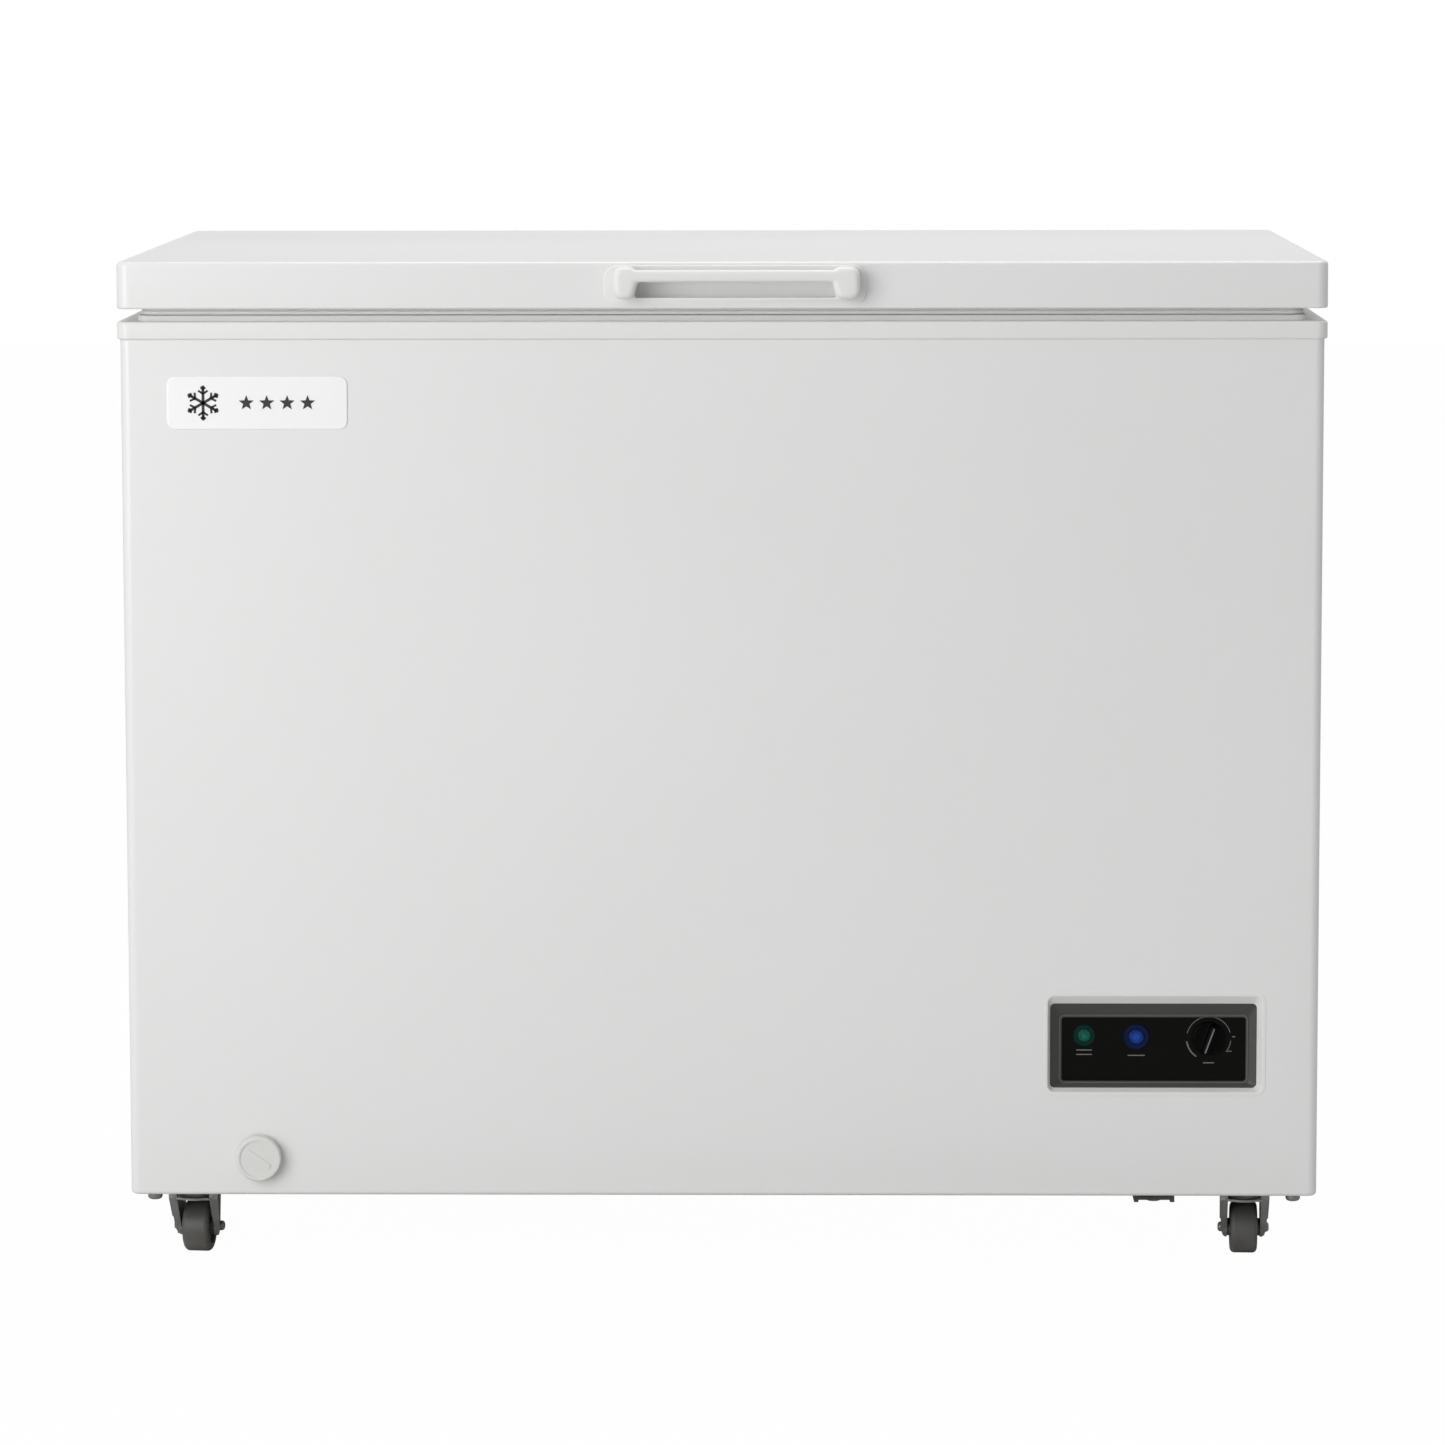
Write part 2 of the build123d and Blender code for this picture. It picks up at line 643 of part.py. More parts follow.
grille_margin = 9.0
grille_thickness = 2.2
grille_slot = (82.0, 5.0)
grille_pitch = 9.5
grille_corner = 6.0
with BuildPart() as side_vent_grille:
    with BuildSketch(RIGHT):
        with Locations((side_vent_y, side_vent_z)):
            RectangleRounded(side_vent[0] + 2 * grille_margin, side_vent[1] + 2 * grille_margin,
                             grille_corner + grille_margin)
    extrude(amount=grille_thickness)
    fillet(side_vent_grille.faces().sort_by(Axis.X)[-1].edges(), 1)
    with BuildSketch(RIGHT):
        with Locations((side_vent_y, side_vent_z)):
            RectangleRounded(side_vent[0] - 2 * snug, side_vent[1] - 2 * snug, grille_corner - snug)
    extrude(amount=-3)
    with BuildSketch(RIGHT.offset(grille_thickness)):
        with Locations((side_vent_y, side_vent_z)):
            with GridLocations(grille_slot[0] + 8, grille_pitch, 2, 11):
                SlotOverall(*grille_slot)
    extrude(amount=-3 - grille_thickness, mode=Mode.SUBTRACT)
save(side_vent_grille, "side_vent_grille")

# ---------------------------------------------------------------- control panel
surround_inner = FRONT.offset(-surround_depth)
fascia_plane = FRONT.offset(-fascia_depth)
surround_corner, frame_corner, fascia_corner = 6.0, 4.0, 2.5
frame_lip = 1.2
frame_step = 3.0                          # flat step between the frame's slope and the fascia
frame_step_depth = 10.4
frame_border = 1.4


def panel_opening(grow, start, end):
    """The tapered opening from one rounded rectangle to the next, grown by a wall."""
    with BuildPart() as taper:
        for plane, middle, size, corner in (start, end):
            with BuildSketch(plane):
                with Locations(middle):
                    RectangleRounded(size[0] + 2 * grow, size[1] + 2 * grow, corner + grow)
        loft()
    return taper.part


surround_mouth = (FRONT.offset(surround_proud), (panel_x, panel_z), panel_surround, surround_corner)
surround_seat = (surround_inner, (frame_x, frame_z), panel_frame, frame_corner)
surround_void = panel_opening(0, surround_mouth, surround_seat)
surround_shell = panel_opening(surround_wall, surround_mouth, surround_seat)
with BuildPart() as control_surround:
    with BuildSketch(FRONT):
        with Locations((panel_x, panel_z)):
            RectangleRounded(panel_surround[0] + 2 * surround_flange, panel_surround[1]
                             + 2 * surround_flange, surround_corner + surround_flange)
    extrude(amount=surround_proud)
    add(surround_shell)
    add(surround_void, mode=Mode.SUBTRACT)
    fillet(control_surround.faces().sort_by(Axis.Y)[0].inner_wires()[0].edges(), 0.9)
    chamfer(control_surround.faces().sort_by(Axis.Y)[0].outer_wire().edges(), 0.3)
save(control_surround, "control_surround")

frame_mouth = (surround_inner, (frame_x, frame_z),
               (panel_frame[0] - 2 * frame_lip, panel_frame[1] - 2 * frame_lip), frame_corner - 1)
frame_floor = (FRONT.offset(-frame_step_depth), (fascia_x, fascia_z + 0.7),
               (panel_fascia[0] + 2 * frame_step, panel_fascia[1] + 2 * frame_step - 0.8), fascia_corner + 1)
frame_void = panel_opening(0, frame_mouth, frame_floor)
with BuildPart() as control_frame:
    with BuildSketch(surround_inner):
        with Locations((frame_x, frame_z)):
            RectangleRounded(panel_frame[0] + 2 * frame_border, panel_frame[1] + 2 * frame_border,
                             frame_corner + frame_border)
    extrude(amount=-(fascia_depth - surround_depth))
    add(frame_void, mode=Mode.SUBTRACT)
    with BuildSketch(fascia_plane):
        with Locations((fascia_x, fascia_z)):
            RectangleRounded(*panel_fascia, fascia_corner)
    extrude(amount=fascia_depth - frame_step_depth, mode=Mode.SUBTRACT)
save(control_frame, "control_frame")

power_lamp = (panel_x - 58.8, 198.4)
run_lamp = (panel_x - 15.0, 197.3)
dial = (panel_x + 45.9, 195.8)
power_lens_radius, power_ring_radius = 6.0, 9.5
run_lens_radius, run_ring_radius = 6.8, 11.2
spindle_radius = 3.0
fascia_margin = 4.0
fascia_thickness = 2.0
fascia_size = (panel_fascia[0] + 2 * fascia_margin, panel_fascia[1] + 2 * fascia_margin)
fascia_back = fascia_plane.offset(-fascia_thickness)
with BuildPart() as control_fascia:
    with BuildSketch(fascia_plane):
        with Locations((fascia_x, fascia_z)):
            RectangleRounded(*fascia_size, 3)
        with Locations(power_lamp):
            Circle(power_lens_radius + snug, mode=Mode.SUBTRACT)
        with Locations(run_lamp):
            Circle(run_lens_radius + snug, mode=Mode.SUBTRACT)
        with Locations(dial):
            Circle(spindle_radius + 1.5, mode=Mode.SUBTRACT)
    extrude(amount=-fascia_thickness)
save(control_fascia, "control_fascia")

ring_proud = 1.4
with BuildPart() as lamp_rings:
    with BuildSketch(fascia_plane):
        with Locations(power_lamp):
            Circle(power_ring_radius)
        with Locations(run_lamp):
            Circle(run_ring_radius)
    extrude(amount=ring_proud, taper=30)
    with BuildSketch(fascia_plane):
        with Locations(power_lamp):
            Circle(power_lens_radius + snug)
        with Locations(run_lamp):
            Circle(run_lens_radius + snug)
    extrude(amount=ring_proud, mode=Mode.SUBTRACT)
save(lamp_rings, "lamp_rings")

housing_depth = 24.0
housing_wall = 2.0
lamp_length = 12.0
lens_proud = 2.6


def lens(place, radius):
    """A domed lens through the fascia on a lamp body that stands behind it."""
    with BuildPart() as piece:
        with BuildSketch(fascia_plane.offset(lens_proud)):
            with Locations(place):
                Circle(radius)
        extrude(amount=-lens_proud - fascia_thickness)
        fillet(piece.faces().sort_by(Axis.Y)[0].edges(), 1.8)
        with BuildSketch(fascia_back):
            with Locations(place):
                Circle(radius + 1.5)
        extrude(amount=-lamp_length)
    return piece


power_lamp_lens = lens(power_lamp, power_lens_radius)
save(power_lamp_lens, "power_lamp_lens")
run_lamp_lens = lens(run_lamp, run_lens_radius)
save(run_lamp_lens, "run_lamp_lens")

thermostat_size = (34.0, 34.0)
thermostat_depth = 16.0
harness_radius = 3.5
harness_z = 170.0
with BuildPart() as control_housing:
    with BuildSketch(fascia_back):
        with Locations((fascia_x, fascia_z)):
            RectangleRounded(*fascia_size, 3)
    extrude(amount=-housing_depth)
    with BuildSketch(fascia_back):
        with Locations((fascia_x, fascia_z)):
            RectangleRounded(fascia_size[0] - 2 * housing_wall, fascia_size[1] - 2 * housing_wall, 2)
    extrude(amount=-housing_depth + housing_wall, mode=Mode.SUBTRACT)
save(control_housing, "control_housing")

with BuildPart() as thermostat_body:
    with BuildSketch(fascia_back):
        with Locations(dial):
            RectangleRounded(*thermostat_size, 3)
            Circle(spindle_radius + running, mode=Mode.SUBTRACT)
    extrude(amount=-thermostat_depth)
save(thermostat_body, "thermostat_body")

knob_radius = 14.0
knob_skirt = 3.0
knob_depth = 12.5
knob_ridge = 7.5
knob_rest = 20.0
knob_face = fascia_plane.offset(free)
ridge_plane = Plane(origin=(dial[0], knob_face.origin.Y, dial[1]), x_dir=(1, 0, 0), z_dir=(0, -1, 0))
with BuildPart() as thermostat_knob:
    with BuildSketch(knob_face):
        with Locations(dial):
            Circle(knob_radius)
    extrude(amount=knob_skirt)
    fillet(thermostat_knob.faces().sort_by(Axis.Y)[0].edges(), 1)
    with BuildSketch(ridge_plane.offset(knob_skirt - 0.5)):
        SlotOverall(2 * knob_radius - 1, knob_ridge, rotation=90 - knob_rest)
    extrude(amount=knob_depth - knob_skirt + 0.5, taper=6)
    fillet(thermostat_knob.faces().sort_by(Axis.Y)[0].edges(), 1.2)
    with BuildSketch(ridge_plane):
        Circle(spindle_radius)
    extrude(amount=-(fascia_thickness + free + thermostat_depth - 3))
save(thermostat_knob, "thermostat_knob")

harness_y = -half_depth + fascia_depth + fascia_thickness + housing_depth
harness_floor = pan_top + harness_radius
wiring_harness = tube(
    [(compressor_x, relay_y - relay_size[1] / 2, can_bottom + 50),
     (compressor_x, relay_y - relay_size[1] / 2 - 30, can_bottom + 50),
     (compressor_x, relay_y - relay_size[1] / 2 - 30, harness_floor),
     (compressor_x, harness_y + 25, harness_floor),
     (compressor_x, harness_y + 25, harness_z),
     (compressor_x, harness_y, harness_z)], 12.0, harness_radius)
save(wiring_harness, "wiring_harness")

# ---------------------------------------------------------------- badge, base bolts, drain cap and plug
badge_x, badge_z = -half_width + 114.1, rim_top - 67.5
badge_size = (150.0, 44.0)
badge_corner = 7.0
with BuildPart() as badge_plate:
    with BuildSketch(FRONT):
        with Locations((badge_x, badge_z)):
            RectangleRounded(*badge_size, badge_corner)
    extrude(amount=1.2)
    fillet(badge_plate.faces().sort_by(Axis.Y)[0].edges(), 0.8)
save(badge_plate, "badge_plate")

with BuildPart() as base_bolts:
    for spots, seat, head in (
            (base_bolt_spots, floor_clearance, base_bolt_height),
            (rail_bolt_spots, rail_seat, rail_bolt_head)):
        with BuildSketch(Plane.XY.offset(seat - head)):
            with Locations(*spots):
                Circle(base_bolt_radius)
        extrude(amount=head)
        fillet(base_bolts.edges().filter_by(lambda e: abs(e.center().Z - (seat - head)) < 0.01),
               0.45 * head)
        with BuildSketch(Plane.XY.offset(seat)):
            with Locations(*spots):
                Circle(base_bolt_shank)
        extrude(amount=pan_top + screw_depth - seat)
save(base_bolts, "base_bolts")

cap_radius = 19.0
cap_depth = 9.0
cap_rim = 3.2
cap_face = 0.8
cap_back = FRONT.offset(2 + free)
cap_front = cap_back.offset(cap_depth)
with BuildPart() as drain_cap:
    with BuildSketch(cap_back):
        with Locations((drain_x, drain_z)):
            Circle(cap_radius)
    extrude(amount=cap_depth)
    fillet(drain_cap.faces().sort_by(Axis.Y)[0].edges(), 1.6)
    with BuildSketch(cap_front):
        with Locations((drain_x, drain_z)):
            Circle(cap_radius - cap_rim)
    extrude(amount=-cap_face, mode=Mode.SUBTRACT)
    with BuildSketch(cap_front.offset(-cap_face)):
        with Locations((drain_x, drain_z)):
            SlotOverall(24, 4, rotation=-35)
    extrude(amount=cap_face)
    with BuildSketch(cap_back):
        with Locations((drain_x, drain_z)):
            Circle(drain_radius + free)
    extrude(amount=spout_reach - 2, mode=Mode.SUBTRACT)
save(drain_cap, "drain_cap")

plug_head = 13.0
plug_seat = liner_floor + sheet + 0.8 + free
with BuildPart() as drain_plug:
    with BuildSketch(Plane.XY.offset(plug_seat)):
        with Locations((drain_x, drain_y)):
            Circle(plug_head)
    extrude(amount=3)
    fillet(drain_plug.faces().sort_by(Axis.Z)[-1].edges(), 1.2)
    with BuildSketch(Plane.XY.offset(plug_seat + 3)):
        with Locations((drain_x, drain_y)):
            SlotOverall(18, 3.5)
    extrude(amount=9)
    with BuildSketch(Plane.XY.offset(plug_seat)):
        with Locations((drain_x, drain_y)):
            Circle(drain_bore - free)
    extrude(amount=-7)
save(drain_plug, "drain_plug")

# ---------------------------------------------------------------- casters
plate_top = pan_bottom
plate_bottom = plate_top - caster_plate_thickness
crown_top, crown_thickness = 51.4, 1.8
crown_bottom = crown_top - crown_thickness
leg_gap = 28.0
leg_thickness = 2.2
leg_end = 8.5                             # radius of a leg's lower end
leg_flange = 7.2                          # flange's reach at the top, beside the axle and at its end
leg_flange_mid = 5.6
leg_flange_end = 3.4
flange_rise = 5.0                          # a front fork's flanges stand up past its crown
leg_flange_low = 33.0                      # height at which the flanges step in
axle_radius = 3.0
axle_head_radius, axle_head = 4.2, 5.6
kingpin_radius = 4.0
race_radius = 17.0
hub_gap = free


def placed(x, y, steer, z=0.0):
    """A plane that stands at a caster and is turned with it."""
    return Plane(origin=(x, y, z), x_dir=(cos(radians(steer)), sin(radians(steer)), 0), z_dir=(0, 0, 1))


def caster_plate(x, y, low, race_top, race_low):
    """Top plate with its screw holes, and the bearing cup under it."""
    with BuildPart() as piece:
        with BuildSketch(Plane.XY.offset(low)):
            with Locations((x, y)):
                RectangleRounded(*caster_plate_size, 5)
                with GridLocations(*caster_holes, 2, 2):
                    Circle(caster_screw_radius + snug, mode=Mode.SUBTRACT)
        extrude(amount=caster_plate_thickness)
        with BuildSketch(Plane.XY.offset(low)):
            with Locations((x, y)):
                Circle(race_top)
        extrude(amount=race_low - low, taper=18)
    return piece


def flange(side, base, side_sign, half, front, trail, bend, top):
    """The strip turned out along a leg's front edge, narrower from step to step towards the floor."""
    end = wheel_radius - leg_end + 2
    raised = [(-front, top), (-front + leg_thickness, top)] if top > bend else []
    with BuildPart() as strip:
        with BuildSketch(side.offset(side_sign * half)):
            with BuildLine():
                Polyline(
                    *raised,
                    (-front + leg_thickness, bend),
                    (trail - leg_end + leg_thickness, wheel_radius),
                    (trail - leg_end + leg_thickness + 1, end),
                    (trail - leg_end + 2, end),
                    (trail - leg_end, wheel_radius),
                    (-front, bend),
                    close=True,
                )
            make_face()
        extrude(amount=side_sign * leg_flange)
        front_view = Plane(
            origin=base.origin, x_dir=side_sign * base.x_dir, z_dir=-side_sign * base.y_dir)
        with BuildSketch(front_view):
            with BuildLine():
                Polyline(
                    (half, top),
                    (half + leg_flange, top),
                    (half + leg_flange - 0.6, leg_flange_low),
                    (half + leg_flange_mid, leg_flange_low - 1.5),
                    (half + leg_flange_mid, wheel_radius),
                    (half + leg_flange_end, end),
                    (half, end),
                    close=True,
                )
            make_face()
        extrude(amount=60, both=True, mode=Mode.INTERSECT)
    return strip.part


def fork(x, y, steer, trail, top, drop):
    """Crown and two flanged legs that reach down to the axle, and the axle itself."""
    base = placed(x, y, steer)
    side = Plane(origin=base.origin, x_dir=base.y_dir, z_dir=base.x_dir)
    front = race_radius - 3
    half = leg_gap / 2
    flange_top = top + flange_rise if drop else top - 1
    with BuildPart() as frame:
        with BuildSketch(base.offset(top - crown_thickness)):
            RectangleRounded(2 * (half + leg_thickness), 2 * front, 4)
            Circle(race_radius)
            with Locations((0, trail / 2 + 2)):
                RectangleRounded(2 * (half + leg_thickness), 2 * front + trail - 2, 4)
        extrude(amount=crown_thickness)
        for side_sign in (-1, 1):
            inner = side_sign * half
            with BuildSketch(side.offset(inner)) as leg:
                with BuildLine():
                    Polyline(
                        (-front + 2, top - 1),
                        (trail + front - 2, top - 1),
                        (trail + leg_end, wheel_radius),
                        (trail - leg_end, wheel_radius),
                        close=True,
                    )
                make_face()
                with Locations((trail, wheel_radius)):
                    Circle(leg_end)
            extrude(amount=side_sign * leg_thickness)
            add(flange(side, base, side_sign, half, front - 2, trail, top - 1, flange_top))
        if drop:
            with BuildSketch(base.offset(top - crown_thickness)):
                Circle(drop + running)
            extrude(amount=crown_thickness, mode=Mode.SUBTRACT)
        with BuildSketch(side.offset(-half - leg_thickness)):
            with Locations((trail, wheel_radius)):
                Circle(axle_radius)
        extrude(amount=leg_gap + 2 * leg_thickness, mode=Mode.SUBTRACT)
    with BuildPart() as axle:
        with BuildSketch(side.offset(-half - leg_thickness)):
            with Locations((trail, wheel_radius)):
                Circle(axle_radius)
        extrude(amount=leg_gap + 2 * leg_thickness)
        for start, reach in ((-half - leg_thickness, -axle_head), (half + leg_thickness, axle_head)):
            with BuildSketch(side.offset(start)):
                with Locations((trail, wheel_radius)):
                    Circle(axle_head_radius)
            extrude(amount=reach)
        fillet(axle.edges().filter_by(GeomType.CIRCLE).filter_by(
            lambda e: e.radius > axle_head_radius - 0.1).group_by(Axis(base.origin, base.x_dir))[0], 2.4)
        fillet(axle.edges().filter_by(GeomType.CIRCLE).filter_by(
            lambda e: e.radius > axle_head_radius - 0.1).group_by(Axis(base.origin, base.x_dir))[-1], 2.4)
    return frame, axle


def wheel(x, y, steer, trail):
    """A moulded wheel with a rounded tread, a dished web and a hub that clears the legs."""
    base = placed(x, y, steer)
    side = Plane(origin=base.origin, x_dir=base.y_dir, z_dir=base.x_dir)
    half = wheel_width / 2
    hub = leg_gap / 2 - hub_gap
    with BuildPart() as piece:
        with BuildSketch(side.offset(-half)):
            with Locations((trail, wheel_radius)):
                Circle(wheel_radius)
        extrude(amount=wheel_width)
        fillet(piece.edges().filter_by(GeomType.CIRCLE), 4)
        for plane, reach in ((side.offset(-half), 3.5), (side.offset(half), -3.5)):
            with BuildSketch(plane):
                with Locations((trail, wheel_radius)):
                    Circle(wheel_radius - 6.5)
            extrude(amount=reach, mode=Mode.SUBTRACT)
        with BuildSketch(side.offset(-hub)):
            with Locations((trail, wheel_radius)):
                Circle(7.5)
        extrude(amount=2 * hub)
        with BuildSketch(side.offset(-hub)):
            with Locations((trail, wheel_radius)):
                Circle(axle_radius + running)
        extrude(amount=2 * hub, mode=Mode.SUBTRACT)
    return piece


race_low = crown_top + free
front_mounts = []
for name, x in caster_x.items():
    mount = caster_plate(x, front_caster_y, plate_bottom, race_radius - 0.6, race_low)
    with BuildPart() as pinned_mount:
        add(mount.part)
        with BuildSketch(Plane.XY.offset(race_low)):
            with Locations((x, front_caster_y)):
                Circle(kingpin_radius)
        extrude(amount=crown_bottom - free - race_low)
        with BuildSketch(Plane.XY.offset(crown_bottom - free)):
            with Locations((x, front_caster_y)):
                Circle(kingpin_radius + 2.5)
        extrude(amount=-2)
    front_mounts.append(pinned_mount)
    frame, axle = fork(x, front_caster_y, front_steer[name], caster_trail, crown_top, kingpin_radius)
    with BuildPart() as caster_fork:
        add(frame.part)
    save(caster_fork, f"front_{name}_fork")
    save(axle, f"front_{name}_axle")
    save(wheel(x, front_caster_y, front_steer[name], caster_trail), f"front_{name}_wheel")

with BuildPart() as front_caster_mounts:
    for mount in front_mounts:
        add(mount.part)
save(front_caster_mounts, "front_caster_mounts")

rear_brackets, rear_pins = [], []
for name, x in caster_x.items():
    bracket, pin = fork(x, rear_caster_y, 0, 0, plate_bottom, 0)
    with BuildPart() as rear_bracket:
        add(bracket.part)
        with BuildSketch(Plane.XY.offset(plate_bottom)):
            with Locations((x, rear_caster_y)):
                RectangleRounded(*caster_plate_size, 5)
                with GridLocations(*caster_holes, 2, 2):
                    Circle(caster_screw_radius + snug, mode=Mode.SUBTRACT)
        extrude(amount=caster_plate_thickness)
    rear_brackets.append(rear_bracket)
    rear_pins.append(pin)
    save(wheel(x, rear_caster_y, 0, 0), f"rear_{name}_wheel")

with BuildPart() as rear_caster_brackets:
    for bracket in rear_brackets:
        add(bracket.part)
save(rear_caster_brackets, "rear_caster_brackets")

with BuildPart() as rear_axles:
    for pin in rear_pins:
        add(pin.part)
save(rear_axles, "rear_axles")

caster_screw_head, caster_screw_drop = 4.5, 3.0
with BuildPart() as caster_screws:
    for spot in caster_spots:
        with BuildSketch(Plane.XY.offset(plate_bottom)):
            with Locations(spot):
                with GridLocations(*caster_holes, 2, 2):
                    Circle(caster_screw_radius)
        extrude(amount=pan_top + screw_depth - plate_bottom)
        with BuildSketch(Plane.XY.offset(plate_bottom)):
            with Locations(spot):
                with GridLocations(*caster_holes, 2, 2):
                    RegularPolygon(caster_screw_head, 6)
        extrude(amount=-caster_screw_drop)
save(caster_screws, "caster_screws")

# ---------------------------------------------------------------- lid shell, liner, gasket and foam
lid_face = Plane.XZ.offset(lid_front)     # the lid's front face: extrude + comes out, - goes in
lid_flange_top = lid_bottom + sheet
lid_liner_sheet = 1.2
lid_liner_top = lid_flange_top + lid_liner_sheet
dish_inset = 52.0
dish_height = 12.0
dish_slope = 9.0
cup_outer = (cup_width + 2 * cup_wall, cup_height + 2 * cup_wall)

lid_block = rounded_block(
    lid_width, lid_depth, lid_bottom, overall_height, lid_corner, lid_top_round, lid_hem_round)
lid_hollow = rounded_block(
    lid_width - 2 * sheet, lid_depth - 2 * sheet, lid_flange_top, overall_height - sheet,
    lid_corner - sheet, lid_top_round - sheet, lid_hem_round - sheet)
with BuildPart() as lid_skin:
    add(lid_block)
    add(lid_hollow, mode=Mode.SUBTRACT)
    with BuildSketch(Plane.XY.offset(lid_bottom)):
        RectangleRounded(lid_width - 2 * lid_flange, lid_depth - 2 * lid_flange, lid_corner)
    extrude(amount=sheet, mode=Mode.SUBTRACT)
    with BuildSketch(lid_face):
        with Locations((handle_x, cup_z)):
            RectangleRounded(cup_outer[0] + 2 * snug, cup_outer[1] + 2 * snug, 5)
    extrude(amount=-sheet, mode=Mode.SUBTRACT)
save(lid_skin, "lid_skin")


def dish_block(low, high, grow):
    """The raised middle of the lid's liner, with sloping sides."""
    with BuildPart() as block:
        for z, inset in ((low, 0.0), (high, dish_slope)):
            with BuildSketch(Plane.XY.offset(z)):
                RectangleRounded(lid_width - 2 * (dish_inset + inset) + 2 * grow,
                                 lid_depth - 2 * (dish_inset + inset) + 2 * grow, 24 + grow)
        loft()
    return block.part


liner_edge = 6.0                          # lid's outer face to the liner's cut edge
dish_outer = dish_block(lid_flange_top, lid_liner_top + dish_height, lid_liner_sheet)
dish_void = dish_block(lid_flange_top, lid_flange_top + dish_height, 0)
with BuildPart() as lid_liner:
    with BuildSketch(Plane.XY.offset(lid_flange_top)):
        RectangleRounded(lid_width - 2 * liner_edge, lid_depth - 2 * liner_edge, lid_corner)
    extrude(amount=lid_liner_sheet)
    add(dish_outer)
    add(dish_void, mode=Mode.SUBTRACT)
save(lid_liner, "lid_liner")

lid_foam_block = rounded_block(
    lid_width - 2 * (sheet + snug), lid_depth - 2 * (sheet + snug), lid_liner_top + snug,
    overall_height - sheet - snug, lid_corner - sheet)
lid_foam_dish = dish_block(lid_flange_top, lid_liner_top + dish_height + snug, lid_liner_sheet + snug)
with BuildPart() as lid_foam:
    add(lid_foam_block)
    fillet(lid_foam.faces().sort_by(Axis.Z)[-1].edges(), lid_top_round - sheet)
    add(lid_foam_dish, mode=Mode.SUBTRACT)
    with BuildSketch(lid_face):
        with Locations((handle_x, cup_z)):
            RectangleRounded(cup_outer[0] + 2 * snug, cup_outer[1] + 2 * snug, 5)
    extrude(amount=-(cup_depth + cup_wall + snug), mode=Mode.SUBTRACT)
save(lid_foam, "lid_foam")

gasket_outer, gasket_width = 17.5, 16.0
gasket_bottom = rim_top + step_height + free
gasket_web = 1.0


def ring(inset, width, low, high, corner):
    """A rectangular ring under the lid, set in from the lid's outer face."""
    with BuildPart() as band:
        with BuildSketch(Plane.XY.offset(low)):
            RectangleRounded(lid_width - 2 * inset, lid_depth - 2 * inset, corner)
            RectangleRounded(lid_width - 2 * (inset + width), lid_depth - 2 * (inset + width),
                             corner - width * 0.4, mode=Mode.SUBTRACT)
        extrude(amount=high - low)
    return band.part


with BuildPart() as lid_gasket:
    add(ring(gasket_outer, gasket_width, lid_flange_top - 2, lid_flange_top, 12))
    add(ring(gasket_outer + 2, gasket_width - 4, gasket_bottom + 2.6, lid_flange_top - 1.9, 11))
    add(ring(gasket_outer + 0.6, gasket_width - 1.2, gasket_bottom, gasket_bottom + 2.7, 12))
    fillet(lid_gasket.faces().sort_by(Axis.Z)[0].edges(), 0.8)
    add(ring(gasket_outer + 4, gasket_width - 8, gasket_bottom + 0.8, lid_flange_top - 2, 9),
        mode=Mode.SUBTRACT)
save(lid_gasket, "lid_gasket")

# ---------------------------------------------------------------- handle and its finger pocket
with BuildPart() as handle_cup:
    with BuildSketch(lid_face):
        with Locations((handle_x, cup_flange_z)):
            RectangleRounded(*cup_flange, cup_flange_corner)
    extrude(amount=cup_flange_thickness)
    cup_front_edges = handle_cup.faces().sort_by(Axis.Y)[0].edges()
    lip_edge = cup_front_edges.filter_by(Axis.X).sort_by(Axis.Z)[0]
    fillet([edge for edge in cup_front_edges if edge != lip_edge], 1.2)
    with BuildSketch(Plane.YZ.offset(handle_x - cup_flange[0] / 2)):
        with BuildLine():
            Polyline(
                (-lid_front - cup_flange_thickness, cup_flange_z - cup_flange[1] / 2 + cup_lip),
                (-lid_front - 0.4, cup_flange_z - cup_flange[1] / 2),
                (-lid_front - 0.4, cup_flange_z - cup_flange[1] / 2 - 1),
                (-lid_front - 5, cup_flange_z - cup_flange[1] / 2 - 1),
                (-lid_front - 5, cup_flange_z - cup_flange[1] / 2 + cup_lip),
                close=True,
            )
        make_face()
    extrude(amount=cup_flange[0], mode=Mode.SUBTRACT)
    with BuildSketch(lid_face):
        with Locations((handle_x, cup_z)):
            RectangleRounded(*cup_outer, 4.8)
    extrude(amount=-(cup_depth + cup_wall))
    with BuildSketch(lid_face.offset(cup_flange_thickness)):
        with Locations((handle_x, cup_z)):
            RectangleRounded(cup_width, cup_height, 2.0)
    extrude(amount=-(cup_depth + cup_flange_thickness), mode=Mode.SUBTRACT)
save(handle_cup, "handle_cup")

